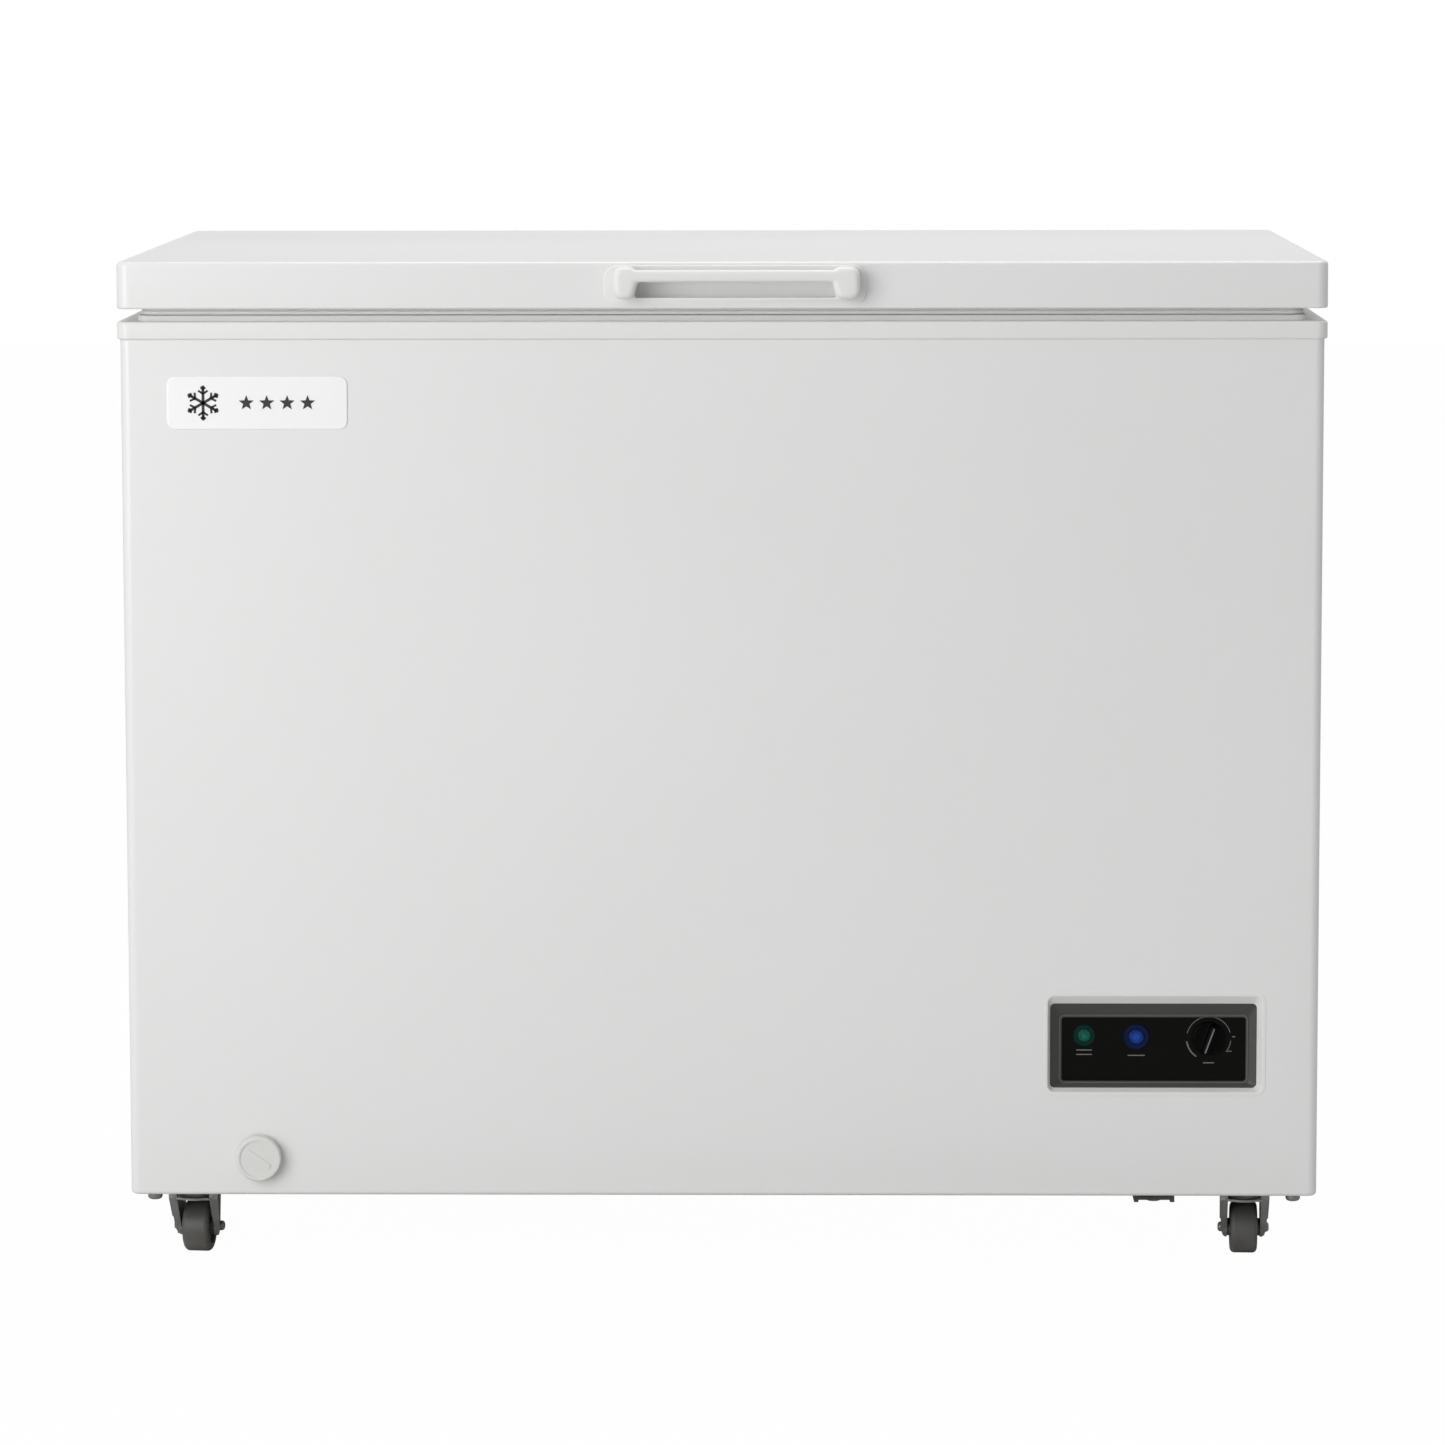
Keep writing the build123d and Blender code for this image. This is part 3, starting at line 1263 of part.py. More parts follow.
handle_base = lid_face.offset(cup_flange_thickness)
boss_depth = handle_reach - cup_flange_thickness
boss_low, boss_high = 820.0, 846.5
boss_slant = 4.0
left_boss = (-100.7, -80.0)               # outer and inner edges, from the handle's middle
right_boss = (103.4, 80.2)
bar_low, bar_high = 834.0, 844.0
bar_depth = 9.0
with BuildPart() as lid_handle:
    for outer, inner in (left_boss, right_boss):
        toward = 1 if inner > outer else -1
        with BuildSketch(handle_base) as boss:
            with BuildLine():
                Polyline(
                    (handle_x + outer, boss_low),
                    (handle_x + inner - toward * boss_slant, boss_low),
                    (handle_x + inner, bar_low),
                    (handle_x + inner, boss_high),
                    (handle_x + outer, boss_high),
                    close=True,
                )
            make_face()
            fillet(boss.vertices().filter_by(lambda v: abs(v.Y - bar_low) > 1), 8)
        extrude(amount=boss_depth)
    fillet(lid_handle.faces().sort_by(Axis.Y)[:2].edges(), 5)
    with BuildSketch(Plane.YZ.offset(handle_x + left_boss[0] + 8)):
        with Locations((-lid_front - handle_reach + bar_depth / 2, (bar_low + bar_high) / 2)):
            RectangleRounded(bar_depth, bar_high - bar_low, 3.2)
    extrude(amount=right_boss[0] - left_boss[0] - 16)
save(lid_handle, "lid_handle")

# ---------------------------------------------------------------- hinges
hinge_spots = (-0.3 * cabinet_width, 0.3 * cabinet_width)
hinge_y, hinge_z = lid_front + 9.0, 806.0
pin_radius = 3.0
leaf_width, leaf_low, leaf_high = 60.0, 690.0, 783.5
leaf_thickness = 1.8
cheek_inner, cheek_thickness = 22.3, 2.0
cheek_radius = 7.5
ear_outer, ear_thickness = 22.0, 2.0
ear_radius = 6.3
arm_width, arm_low, arm_high = 48.0, 814.5, 846.0
arm_thickness = 2.0
cabinet_back = half_depth


cheek_outline = [
    (cabinet_back, leaf_low + 40),
    (cabinet_back, leaf_high + 1),
    (hinge_y - cheek_radius, leaf_high + 1),
    (hinge_y - cheek_radius, hinge_z),
    (hinge_y + cheek_radius, hinge_z),
    (hinge_y + cheek_radius, hinge_z - 36),
    (cabinet_back + leaf_thickness, leaf_low + 40),
]
ear_outline = [
    (lid_front, arm_low),
    (lid_front, arm_high - 8),
    (lid_front + arm_thickness, arm_high - 8),
    (hinge_y + ear_radius, hinge_z + 6),
    (hinge_y + ear_radius, hinge_z),
    (hinge_y - ear_radius, hinge_z),
    (hinge_y - ear_radius, arm_low),
]
leaf_screws = [(dx, leaf_low + dz) for dx in (-16.0, 16.0) for dz in (14.0, 62.0)]
arm_screws = [(dx, (arm_low + arm_high) / 2 + 2) for dx in (-15.0, 15.0)]
hinge_screw_radius, hinge_head_radius, hinge_head = 2.0, 4.0, 2.2

with BuildPart() as hinge_leaves:
    for x in hinge_spots:
        with BuildSketch(BACK):
            with Locations((x, leaf_low)):
                Rectangle(leaf_width, leaf_high - leaf_low, align=(Align.CENTER, Align.MIN))
            with Locations(*[(x + dx, z) for dx, z in leaf_screws]):
                Circle(hinge_screw_radius + running, mode=Mode.SUBTRACT)
        extrude(amount=-leaf_thickness)
        for start, reach in ((x - cheek_inner, -cheek_thickness), (x + cheek_inner, cheek_thickness)):
            with BuildSketch(Plane.YZ.offset(start)):
                with BuildLine():
                    Polyline(*cheek_outline, close=True)
                make_face()
                with Locations((hinge_y, hinge_z)):
                    Circle(cheek_radius)
                    Circle(pin_radius, mode=Mode.SUBTRACT)
            extrude(amount=reach)
save(hinge_leaves, "hinge_leaves")

with BuildPart() as hinge_arms:
    for x in hinge_spots:
        with BuildSketch(Plane.XZ.offset(-lid_front)):
            with Locations((x, arm_low)):
                Rectangle(arm_width, arm_high - arm_low, align=(Align.CENTER, Align.MIN))
            with Locations(*[(x + dx, z) for dx, z in arm_screws]):
                Circle(hinge_screw_radius + running, mode=Mode.SUBTRACT)
        extrude(amount=-arm_thickness)
        for start, reach in ((x - ear_outer, ear_thickness), (x + ear_outer, -ear_thickness)):
            with BuildSketch(Plane.YZ.offset(start)):
                with BuildLine():
                    Polyline(*ear_outline, close=True)
                make_face()
                with Locations((hinge_y, hinge_z)):
                    Circle(ear_radius)
                    Circle(pin_radius + running, mode=Mode.SUBTRACT)
            extrude(amount=reach)
with BuildPart() as arm_fasteners:
    for x in hinge_spots:
        for reach, radius, slope in (
                (-hinge_head, hinge_head_radius, 20), (arm_thickness, hinge_screw_radius, 0)):
            with BuildSketch(Plane.XZ.offset(-lid_front - arm_thickness)):
                with Locations(*[(x + dx, z) for dx, z in arm_screws]):
                    Circle(radius)
            extrude(amount=reach, taper=slope)
with BuildPart() as screwed_arms:
    add(hinge_arms.part)
    add(arm_fasteners.part)
save(screwed_arms, "hinge_arms")

pin_reach = cheek_inner + cheek_thickness
pin_head, pin_head_radius = 1.8, 4.5
with BuildPart() as hinge_pins:
    for x in hinge_spots:
        with BuildSketch(Plane.YZ.offset(x - pin_reach)):
            with Locations((hinge_y, hinge_z)):
                Circle(pin_radius)
        extrude(amount=2 * pin_reach)
        for start, reach in ((x - pin_reach, -pin_head), (x + pin_reach, pin_head)):
            with BuildSketch(Plane.YZ.offset(start)):
                with Locations((hinge_y, hinge_z)):
                    Circle(pin_head_radius)
            extrude(amount=reach)
save(hinge_pins, "hinge_pins")

spring_wire = 0.9
spring_mean = pin_radius + 0.4 + spring_wire
spring_pitch = 2.1
spring_length = 30.0
with BuildPart() as hinge_springs:
    for x in hinge_spots:
        with BuildLine() as coil:
            Helix(pitch=spring_pitch, height=spring_length, radius=spring_mean,
                  center=(x - spring_length / 2, hinge_y, hinge_z), direction=(1, 0, 0))
        with BuildSketch(Plane(origin=coil.line @ 0, x_dir=(1, 0, 0), z_dir=coil.line % 0)):
            Rectangle(2 * spring_wire - 0.2, 2 * spring_wire)
        sweep(path=coil.line, is_frenet=True)
save(hinge_springs, "hinge_springs")

cover_width, cover_low, cover_high = 72.0, 684.0, hinge_z - 8.0
cover_reach = lid_front + handle_reach - cabinet_back
cover_wall = 1.6
with BuildPart() as hinge_covers:
    for x in hinge_spots:
        with BuildSketch(BACK):
            with Locations((x, cover_low)):
                Rectangle(cover_width, cover_high - cover_low, align=(Align.CENTER, Align.MIN))
        extrude(amount=-cover_reach)
    fillet(hinge_covers.faces().sort_by(Axis.Y)[-2:].edges().filter_by(
        lambda e: e.center().Z < cover_high - 1), 5)
    for x in hinge_spots:
        with BuildSketch(BACK):
            with Locations((x, cover_low + cover_wall)):
                Rectangle(cover_width - 2 * cover_wall, cover_high - cover_low,
                          align=(Align.CENTER, Align.MIN))
        extrude(amount=-(cover_reach - cover_wall), mode=Mode.SUBTRACT)
    with BuildSketch(Plane.XY.offset(rim_bottom - free)):
        Rectangle(lid_width, lid_depth + 2 * free)
    extrude(amount=cover_high - rim_bottom + 2 * free, mode=Mode.SUBTRACT)
save(hinge_covers, "hinge_covers")

with BuildPart() as rear_screws:
    for x in hinge_spots:
        for dx, z in leaf_screws:
            with BuildSketch(BACK.offset(-leaf_thickness)):
                with Locations((x + dx, z)):
                    Circle(hinge_head_radius)
            extrude(amount=-hinge_head, taper=20)
            with BuildSketch(BACK.offset(-leaf_thickness)):
                with Locations((x + dx, z)):
                    Circle(hinge_screw_radius)
            extrude(amount=leaf_thickness)
    with BuildSketch(Plane.XZ.offset(-cover_face)):
        with Locations(*cover_screw_spots):
            Circle(3.2)
    extrude(amount=-hinge_head, taper=20)
save(rear_screws, "rear_screws")

# ---------------------------------------------------------------- wire basket, hung across the opening
basket_x = half_width - 200.0
basket_width = 230.0
basket_half_depth = rim_opening_depth / 2 - 13.0
basket_top = rim_top - 14.0
basket_bottom = 600.0
frame_wire, mesh_wire = 2.5, 1.5
hook_wire = 2.0
ledge_inner = rim_opening_depth / 2
hook_reach = 9.0
cross_count, long_count = 9, 5
cross_pitch = 46.0
long_pitch = 38.0
loop_levels = (642.0, 686.0, 732.0)


def closed_wire(half_x, half_y, z, corner, radius):
    """A round wire bent into a flat rectangle."""
    with BuildPart() as piece:
        with BuildLine() as route:
            FilletPolyline(
                (basket_x - half_x, -half_y, z),
                (basket_x + half_x, -half_y, z),
                (basket_x + half_x, half_y, z),
                (basket_x - half_x, half_y, z),
                radius=corner,
                close=True,
            )
        with BuildSketch(Plane(origin=route.line @ 0, z_dir=route.line % 0)):
            Circle(radius)
        sweep(path=route.line)
    return piece.part


wire_x = basket_width / 2 - frame_wire
wire_y = basket_half_depth - frame_wire
mesh_x = wire_x - frame_wire - mesh_wire
mesh_y = wire_y - frame_wire - mesh_wire
mesh_top = basket_top + frame_wire - 1
hook_z = rim_top + free + hook_wire
with BuildPart() as basket_frame:
    add(closed_wire(wire_x, wire_y, basket_top, 14.0, frame_wire))
    for side in (-1, 1):
        inner_y = side * (wire_y + frame_wire + hook_wire)
        outer_y = side * (ledge_inner + hook_reach)
        for dx in (-60.0, 60.0):
            left, right = basket_x + dx - 22, basket_x + dx + 22
            add(tube([(left, inner_y, basket_top - 12), (left, inner_y, hook_z),
                      (left, outer_y, hook_z), (right, outer_y, hook_z),
                      (right, inner_y, hook_z), (right, inner_y, basket_top - 12)],
                     3.6, hook_wire).part)
save(basket_frame, "basket_frame")

mesh_bend = 12.0
with BuildPart() as basket_wires:
    for step in range(cross_count):
        y = (step - (cross_count - 1) / 2) * cross_pitch
        add(tube([(basket_x - mesh_x, y, mesh_top), (basket_x - mesh_x, y, basket_bottom),
                  (basket_x + mesh_x, y, basket_bottom), (basket_x + mesh_x, y, mesh_top)],
                 mesh_bend, mesh_wire).part)
    for step in range(long_count):
        x = basket_x + (step - (long_count - 1) / 2) * long_pitch
        add(tube([(x, -mesh_y, mesh_top), (x, -mesh_y, basket_bottom - 2 * mesh_wire),
                  (x, mesh_y, basket_bottom - 2 * mesh_wire), (x, mesh_y, mesh_top)],
                 mesh_bend, mesh_wire).part)
    for z in loop_levels:
        add(closed_wire(mesh_x + 2 * mesh_wire, mesh_y + 2 * mesh_wire, z, 12.0, mesh_wire))
save(basket_wires, "basket_wires")
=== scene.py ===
import json
import math

import bmesh
import bpy
from mathutils import Matrix, Vector


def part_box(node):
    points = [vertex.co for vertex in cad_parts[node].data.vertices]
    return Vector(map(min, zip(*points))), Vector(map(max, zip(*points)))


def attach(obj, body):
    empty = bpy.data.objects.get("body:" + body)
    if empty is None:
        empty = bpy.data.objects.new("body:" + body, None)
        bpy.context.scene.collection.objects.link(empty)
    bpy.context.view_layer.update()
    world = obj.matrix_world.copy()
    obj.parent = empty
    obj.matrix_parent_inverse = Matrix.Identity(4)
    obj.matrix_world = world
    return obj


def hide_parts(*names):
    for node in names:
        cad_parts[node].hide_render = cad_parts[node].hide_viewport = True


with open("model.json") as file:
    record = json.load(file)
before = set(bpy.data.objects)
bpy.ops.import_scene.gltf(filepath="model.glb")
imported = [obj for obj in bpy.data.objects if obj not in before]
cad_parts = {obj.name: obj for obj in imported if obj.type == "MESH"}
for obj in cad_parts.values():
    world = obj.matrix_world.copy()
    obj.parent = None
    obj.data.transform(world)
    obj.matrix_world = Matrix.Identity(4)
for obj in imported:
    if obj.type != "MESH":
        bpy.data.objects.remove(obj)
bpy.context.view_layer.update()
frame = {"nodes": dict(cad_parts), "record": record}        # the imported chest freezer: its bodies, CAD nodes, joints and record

nodes = frame["nodes"]
bodyOf = {node: body for body, held in frame["record"]["behaviour"]["bodies"].items() for node in held}
slotOf = {entry["node"]: entry["material_slot"] for entry in frame["record"]["subparts"]}
mm = 0.001


# ---- shader groups: each puts out masks and heights, and every material uses them in its own way

def newGroup(name, inputs, outputs):
    group = bpy.data.node_groups.new(name, "ShaderNodeTree")
    for label, kind, default in inputs:
        socket = group.interface.new_socket(label, in_out="INPUT", socket_type=kind)
        if default is not None:
            socket.default_value = default
    for label in outputs:
        group.interface.new_socket(label, in_out="OUTPUT", socket_type="NodeSocketFloat")
    return group, group.nodes.new("NodeGroupInput"), group.nodes.new("NodeGroupOutput")


def mathNode(tree, operation, *values):
    node = tree.nodes.new("ShaderNodeMath")
    node.operation = operation
    for index, value in enumerate(values):
        if isinstance(value, (int, float)):
            node.inputs[index].default_value = value
        else:
            tree.links.new(value, node.inputs[index])
    return node.outputs[0]


def noiseNode(tree, vector, scale, detail=2.0):
    node = tree.nodes.new("ShaderNodeTexNoise")
    node.inputs["Detail"].default_value = detail
    tree.links.new(vector, node.inputs["Vector"])
    if isinstance(scale, (int, float)):
        node.inputs["Scale"].default_value = scale
    else:
        tree.links.new(scale, node.inputs["Scale"])
    return node.outputs["Fac"]


def cellNode(tree, vector, scale, output="Distance", feature="F1"):
    node = tree.nodes.new("ShaderNodeTexVoronoi")
    node.feature = feature
    tree.links.new(vector, node.inputs["Vector"])
    if isinstance(scale, (int, float)):
        node.inputs["Scale"].default_value = scale
    else:
        tree.links.new(scale, node.inputs["Scale"])
    return node.outputs[output]


def rangeNode(tree, value, fromLow, fromHigh, toLow, toHigh):
    node = tree.nodes.new("ShaderNodeMapRange")
    for label, number in (("From Min", fromLow), ("From Max", fromHigh), ("To Min", toLow),
                          ("To Max", toHigh)):
        node.inputs[label].default_value = number
    tree.links.new(value, node.inputs["Value"])
    return node.outputs["Result"]


def mixColour(tree, factor, first, second):
    node = tree.nodes.new("ShaderNodeMix")
    node.data_type = "RGBA"
    for label, colour in (("A", first), ("B", second)):
        if isinstance(colour, tuple):
            node.inputs[label].default_value = (*colour, 1)
        else:
            tree.links.new(colour, node.inputs[label])
    tree.links.new(factor, node.inputs["Factor"])
    return node.outputs["Result"]


def makeSkinGroup():
    # sprayed or moulded skin: fine ripple, slow uneven patches, fine specks
    group, inside, outside = newGroup(
        "sprayedSkin",
        [("Vector", "NodeSocketVector", None), ("Ripple Scale", "NodeSocketFloat", 900.0),
         ("Patch Scale", "NodeSocketFloat", 4.0)],
        ["Ripple", "Patch", "Speck"])
    place = inside.outputs["Vector"]
    group.links.new(noiseNode(group, place, inside.outputs["Ripple Scale"]), outside.inputs["Ripple"])
    group.links.new(noiseNode(group, place, inside.outputs["Patch Scale"], 3.0), outside.inputs["Patch"])
    group.links.new(noiseNode(group, place, 2600.0, 1.0), outside.inputs["Speck"])
    return group


def makeSpangleGroup():
    # zinc crystals: a flat shade for each crystal, and fine streaks inside it
    group, inside, outside = newGroup(
        "zincSpangle",
        [("Vector", "NodeSocketVector", None), ("Crystal Scale", "NodeSocketFloat", 60.0)],
        ["Crystal", "Streak"])
    place = inside.outputs["Vector"]
    crystal = cellNode(group, place, inside.outputs["Crystal Scale"], "Color")
    grey = group.nodes.new("ShaderNodeSeparateColor")
    group.links.new(crystal, grey.inputs["Color"])
    group.links.new(grey.outputs[0], outside.inputs["Crystal"])
    group.links.new(noiseNode(group, place, 420.0, 4.0), outside.inputs["Streak"])
    return group


def makeStuccoGroup():
    # stucco-embossed sheet: rounded pebbles of two sizes
    group, inside, outside = newGroup(
        "stuccoEmboss",
        [("Vector", "NodeSocketVector", None), ("Pebble Scale", "NodeSocketFloat", 150.0)],
        ["Pebble"])
    place = inside.outputs["Vector"]
    coarse = cellNode(group, place, inside.outputs["Pebble Scale"], feature="SMOOTH_F1")
    fine = noiseNode(group, place, mathNode(group, "MULTIPLY", inside.outputs["Pebble Scale"], 1.7), 2.0)
    pebble = mathNode(group, "ADD", mathNode(group, "MULTIPLY", coarse, 0.7),
                      mathNode(group, "MULTIPLY", fine, 0.6))
    group.links.new(pebble, outside.inputs["Pebble"])
    return group


def makeGrimeGroup():
    # dust that gathers low down and thins out upwards, broken up by noise
    group, inside, outside = newGroup(
        "lowDust",
        [("Vector", "NodeSocketVector", None), ("Reach", "NodeSocketFloat", 0.08)],
        ["Dust"])
    split = group.nodes.new("ShaderNodeSeparateXYZ")
    group.links.new(inside.outputs["Vector"], split.inputs[0])
    height = mathNode(group, "DIVIDE", split.outputs["Z"], inside.outputs["Reach"])
    share = mathNode(group, "MINIMUM", mathNode(group, "MAXIMUM", height, 0.0), 1.0)
    low = mathNode(group, "SUBTRACT", 1.0, share)
    broken = noiseNode(group, inside.outputs["Vector"], 55.0, 5.0)
    group.links.new(mathNode(group, "MULTIPLY", low, broken), outside.inputs["Dust"])
    return group


dustColour = (0.46, 0.43, 0.38)
skinGroup = makeSkinGroup()
spangleGroup = makeSpangleGroup()
stuccoGroup = makeStuccoGroup()
grimeGroup = makeGrimeGroup()


def placeGroup(tree, group, vector, **values):
    node = tree.nodes.new("ShaderNodeGroup")
    node.node_tree = group
    tree.links.new(vector, node.inputs["Vector"])
    for label, value in values.items():
        node.inputs[label].default_value = value
    return node.outputs


def startMaterial(name, settings):
    # an empty Principled material with its constants set on its own sockets
    material = bpy.data.materials.new(name)
    material.use_nodes = True
    tree = material.node_tree
    shader = tree.nodes["Principled BSDF"]
    shader.inputs["Roughness"].default_value = settings.get("roughness", 0.35)
    shader.inputs["Metallic"].default_value = settings.get("metallic", 0.0)
    shader.inputs["Coat Weight"].default_value = settings.get("coat", 0.0)
    shader.inputs["Coat Roughness"].default_value = settings.get("coatRoughness", 0.08)
    shader.inputs["Specular IOR Level"].default_value = settings.get("specular", 0.5)
    return material, tree, shader, tree.nodes.new("ShaderNodeTexCoord").outputs["Object"]


def addBump(tree, shader, height, settings):
    bump = tree.nodes.new("ShaderNodeBump")
    bump.inputs["Strength"].default_value = settings.get("bump", 0.1)
    bump.inputs["Distance"].default_value = settings.get("bumpDepth", 0.1 * mm)
    tree.links.new(height, bump.inputs["Height"])
    tree.links.new(bump.outputs["Normal"], shader.inputs["Normal"])


def newMaterial(name, **settings):
    # moulded, sprayed, cast, zinc-coated and embossed finishes, as the settings ask
    material, tree, shader, place = startMaterial(name, settings)
    skin = placeGroup(tree, skinGroup, place, **{
        "Ripple Scale": settings.get("rippleScale", 900.0), "Patch Scale": settings.get("patchScale", 4.0)})
    colour = settings["colour"]
    shade = settings.get("shade", tuple(0.96 * c for c in colour))
    patch, height = skin["Patch"], skin["Ripple"]
    if "crystalScale" in settings:
        spangle = placeGroup(tree, spangleGroup, place, **{"Crystal Scale": settings["crystalScale"]})
        patch = mathNode(tree, "ADD", mathNode(tree, "MULTIPLY", spangle["Crystal"], 0.6),
                         mathNode(tree, "MULTIPLY", spangle["Streak"], 0.4))
    if "pebbleScale" in settings:
        height = placeGroup(tree, stuccoGroup, place, **{"Pebble Scale": settings["pebbleScale"]})["Pebble"]
    base = mixColour(tree, patch, shade, colour)
    if "dust" in settings:
        dust = placeGroup(tree, grimeGroup, place, Reach=settings.get("dustReach", 0.08))["Dust"]
        base = mixColour(tree, mathNode(tree, "MULTIPLY", dust, settings["dust"]), base, dustColour)
    tree.links.new(base, shader.inputs["Base Color"])
    rough, spread = settings.get("roughness", 0.35), settings.get("roughSpread", 0.05)
    uneven = rangeNode(tree, patch, 0.3, 0.7, rough - spread, rough + spread)
    tree.links.new(uneven, shader.inputs["Roughness"])
    addBump(tree, shader, height, settings)
    return material


lens = dict(
    roughness=0.28, coat=0.08, coatRoughness=0.05, specular=0.12, bump=0.5, bumpDepth=0.7 * mm,
    facetScale=520.0, core=1.5 * mm, edge=6.6 * mm, glow=0.18)


def lensMaterial(name, node, deep, bright):
    # a moulded lamp lens: brighter in the middle where its lamp glows, that glow both emitted and painted
    # into the lens colour; small facets painted lighter and darker as painted glints, besides their bump
    material, tree, shader, place = startMaterial(name, lens)
    low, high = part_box(node)
    centre = (Vector(low) + Vector(high)) / 2
    shift = tree.nodes.new("ShaderNodeMapping")
    shift.inputs["Location"].default_value = (-centre[0], 0.0, -centre[2])
    shift.inputs["Scale"].default_value = (1.0, 0.0, 1.0)
    tree.links.new(place, shift.inputs["Vector"])
    reach = tree.nodes.new("ShaderNodeVectorMath")
    reach.operation = "LENGTH"
    tree.links.new(shift.outputs["Vector"], reach.inputs[0])
    facet = cellNode(tree, place, lens["facetScale"])
    # the lamp's glow, fading out from the middle: emitted, and painted into the base colour too
    glow = rangeNode(tree, reach.outputs["Value"], lens["core"], lens["edge"], 1.0, 0.0)
    # painted glints: each facet lighter at its middle and darker at its edge, in colour and emission
    broken = mathNode(tree, "MULTIPLY", glow, rangeNode(tree, facet, 0.0, 0.8, 1.15, 0.55))
    shade = mixColour(tree, broken, deep, bright)
    tree.links.new(shade, shader.inputs["Base Color"])
    tree.links.new(shade, shader.inputs["Emission Color"])
    shader.inputs["Emission Strength"].default_value = lens["glow"]
    addBump(tree, shader, facet, lens)
    return material


rings = dict(
    roughness=0.35, specular=0.12, bump=0.05, green=(0.0015, 0.022, 0.015), blue=(0.002, 0.008, 0.040))


def ringMaterial():
    # the two lamp rings are dark plastic that picks up its own lamp's colour
    material, tree, shader, place = startMaterial("tintedRings", rings)
    split = tree.nodes.new("ShaderNodeSeparateXYZ")
    tree.links.new(place, split.inputs[0])
    middle = (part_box("power_lamp_lens")[1][0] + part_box("run_lamp_lens")[0][0]) / 2
    side = mathNode(tree, "GREATER_THAN", split.outputs["X"], middle)
    tree.links.new(mixColour(tree, side, rings["green"], rings["blue"]), shader.inputs["Base Color"])
    skin = placeGroup(tree, skinGroup, place)
    addBump(tree, shader, skin["Speck"], rings)
    return material


finish = {
    "white_paint": newMaterial(
        "whiteEnamel", colour=(0.80, 0.80, 0.797), shade=(0.785, 0.785, 0.78), roughness=0.36,
        roughSpread=0.03, bump=0.07, rippleScale=420, bumpDepth=0.12 * mm, coat=0.35,
        coatRoughness=0.12, dust=0.10, dustReach=0.11),
    "galvanised": newMaterial(
        "galvanisedSheet", colour=(0.62, 0.64, 0.65), shade=(0.52, 0.54, 0.56), metallic=0.85, roughness=0.42,
        roughSpread=0.06, crystalScale=120, bump=0.08, rippleScale=160),
    "white_plastic": newMaterial(
        "whiteMoulding", colour=(0.80, 0.80, 0.79), roughness=0.36, bump=0.12, rippleScale=1400,
        bumpDepth=0.08 * mm),
    "grey_plastic": newMaterial(
        "greyMoulding", colour=(0.42, 0.43, 0.44), roughness=0.45, bump=0.2, rippleScale=1600),
    "liner_aluminium": newMaterial(
        "embossedAluminium", colour=(0.82, 0.83, 0.84), shade=(0.74, 0.75, 0.77), metallic=0.8,
        roughness=0.36, pebbleScale=170, bump=0.35, bumpDepth=0.7 * mm),
    "foam": newMaterial(
        "rigidFoam", colour=(0.80, 0.70, 0.45), shade=(0.70, 0.58, 0.33), roughness=0.9, bump=0.6,
        rippleScale=500),
    "dark_frame": newMaterial(
        "darkMoulding", colour=(0.052, 0.052, 0.048), shade=(0.045, 0.045, 0.042), roughness=0.42, bump=0.15,
        rippleScale=1500, specular=0.45),
    "black_gloss": newMaterial(
        "blackGloss", colour=(0.002, 0.002, 0.0015), roughness=0.24, roughSpread=0.03, specular=0.10,
        bump=0.03),
    "green_lens": lensMaterial("greenLens", "power_lamp_lens", (0.0008, 0.020, 0.014), (0.006, 0.130, 0.085)),
    "blue_lens": lensMaterial("blueLens", "run_lamp_lens", (0.0008, 0.008, 0.055), (0.008, 0.060, 0.38)),
    "black_enamel": newMaterial(
        "blackEnamel", colour=(0.025, 0.025, 0.027), roughness=0.35, bump=0.2, rippleScale=500, dust=0.25,
        dustReach=0.16),
    "rubber": newMaterial("blackRubber", colour=(0.02, 0.02, 0.02), roughness=0.7, bump=0.3),
    "gasket_rubber": newMaterial(
        "paleGasket", colour=(0.93, 0.93, 0.93), roughness=0.5, bump=0.15, rippleScale=1300),
    "caster_tyre": newMaterial(
        "casterWheel", colour=(0.085, 0.085, 0.080), shade=(0.060, 0.060, 0.058), roughness=0.48, bump=0.25,
        rippleScale=1200, patchScale=60, dust=0.35, dustReach=0.03),
    "zinc_steel": newMaterial(
        "zincSteel", colour=(0.34, 0.34, 0.33), shade=(0.20, 0.20, 0.19), metallic=0.7, roughness=0.40,
        roughSpread=0.08, patchScale=60, bump=0.12, rippleScale=700, dust=0.2),
    "copper": newMaterial(
        "copperPipe", colour=(0.78, 0.42, 0.27), shade=(0.60, 0.30, 0.19), metallic=1.0, roughness=0.3,
        patchScale=40),
    "coated_wire": newMaterial(
        "coatedWire", colour=(0.84, 0.84, 0.84), roughness=0.3, bump=0.1, coat=0.3),
}
own = {
    "drain_cap": newMaterial(
        "capMoulding", colour=(0.72, 0.72, 0.70), roughness=0.5, bump=0.15, rippleScale=900),
    "badge_plate": newMaterial(
        "badgeEnamel", colour=(0.97, 0.97, 0.97), roughness=0.2, roughSpread=0.02, bump=0.02, coat=0.5),
    "lid_liner": newMaterial(
        "lidLinerMoulding", colour=(0.83, 0.84, 0.85), roughness=0.42, roughSpread=0.03, bump=0.1,
        rippleScale=420, bumpDepth=0.15 * mm),
    "lamp_rings": ringMaterial(),
    "thermostat_knob": newMaterial(
        "knobMoulding", colour=(0.0015, 0.0015, 0.0015), roughness=0.26, roughSpread=0.03, bump=0.05,
        specular=0.06),
    "base_bolts": finish["zinc_steel"],
}
panelInk = newMaterial("panelInk", colour=(0.15, 0.15, 0.145), roughness=0.6, bump=0.05)
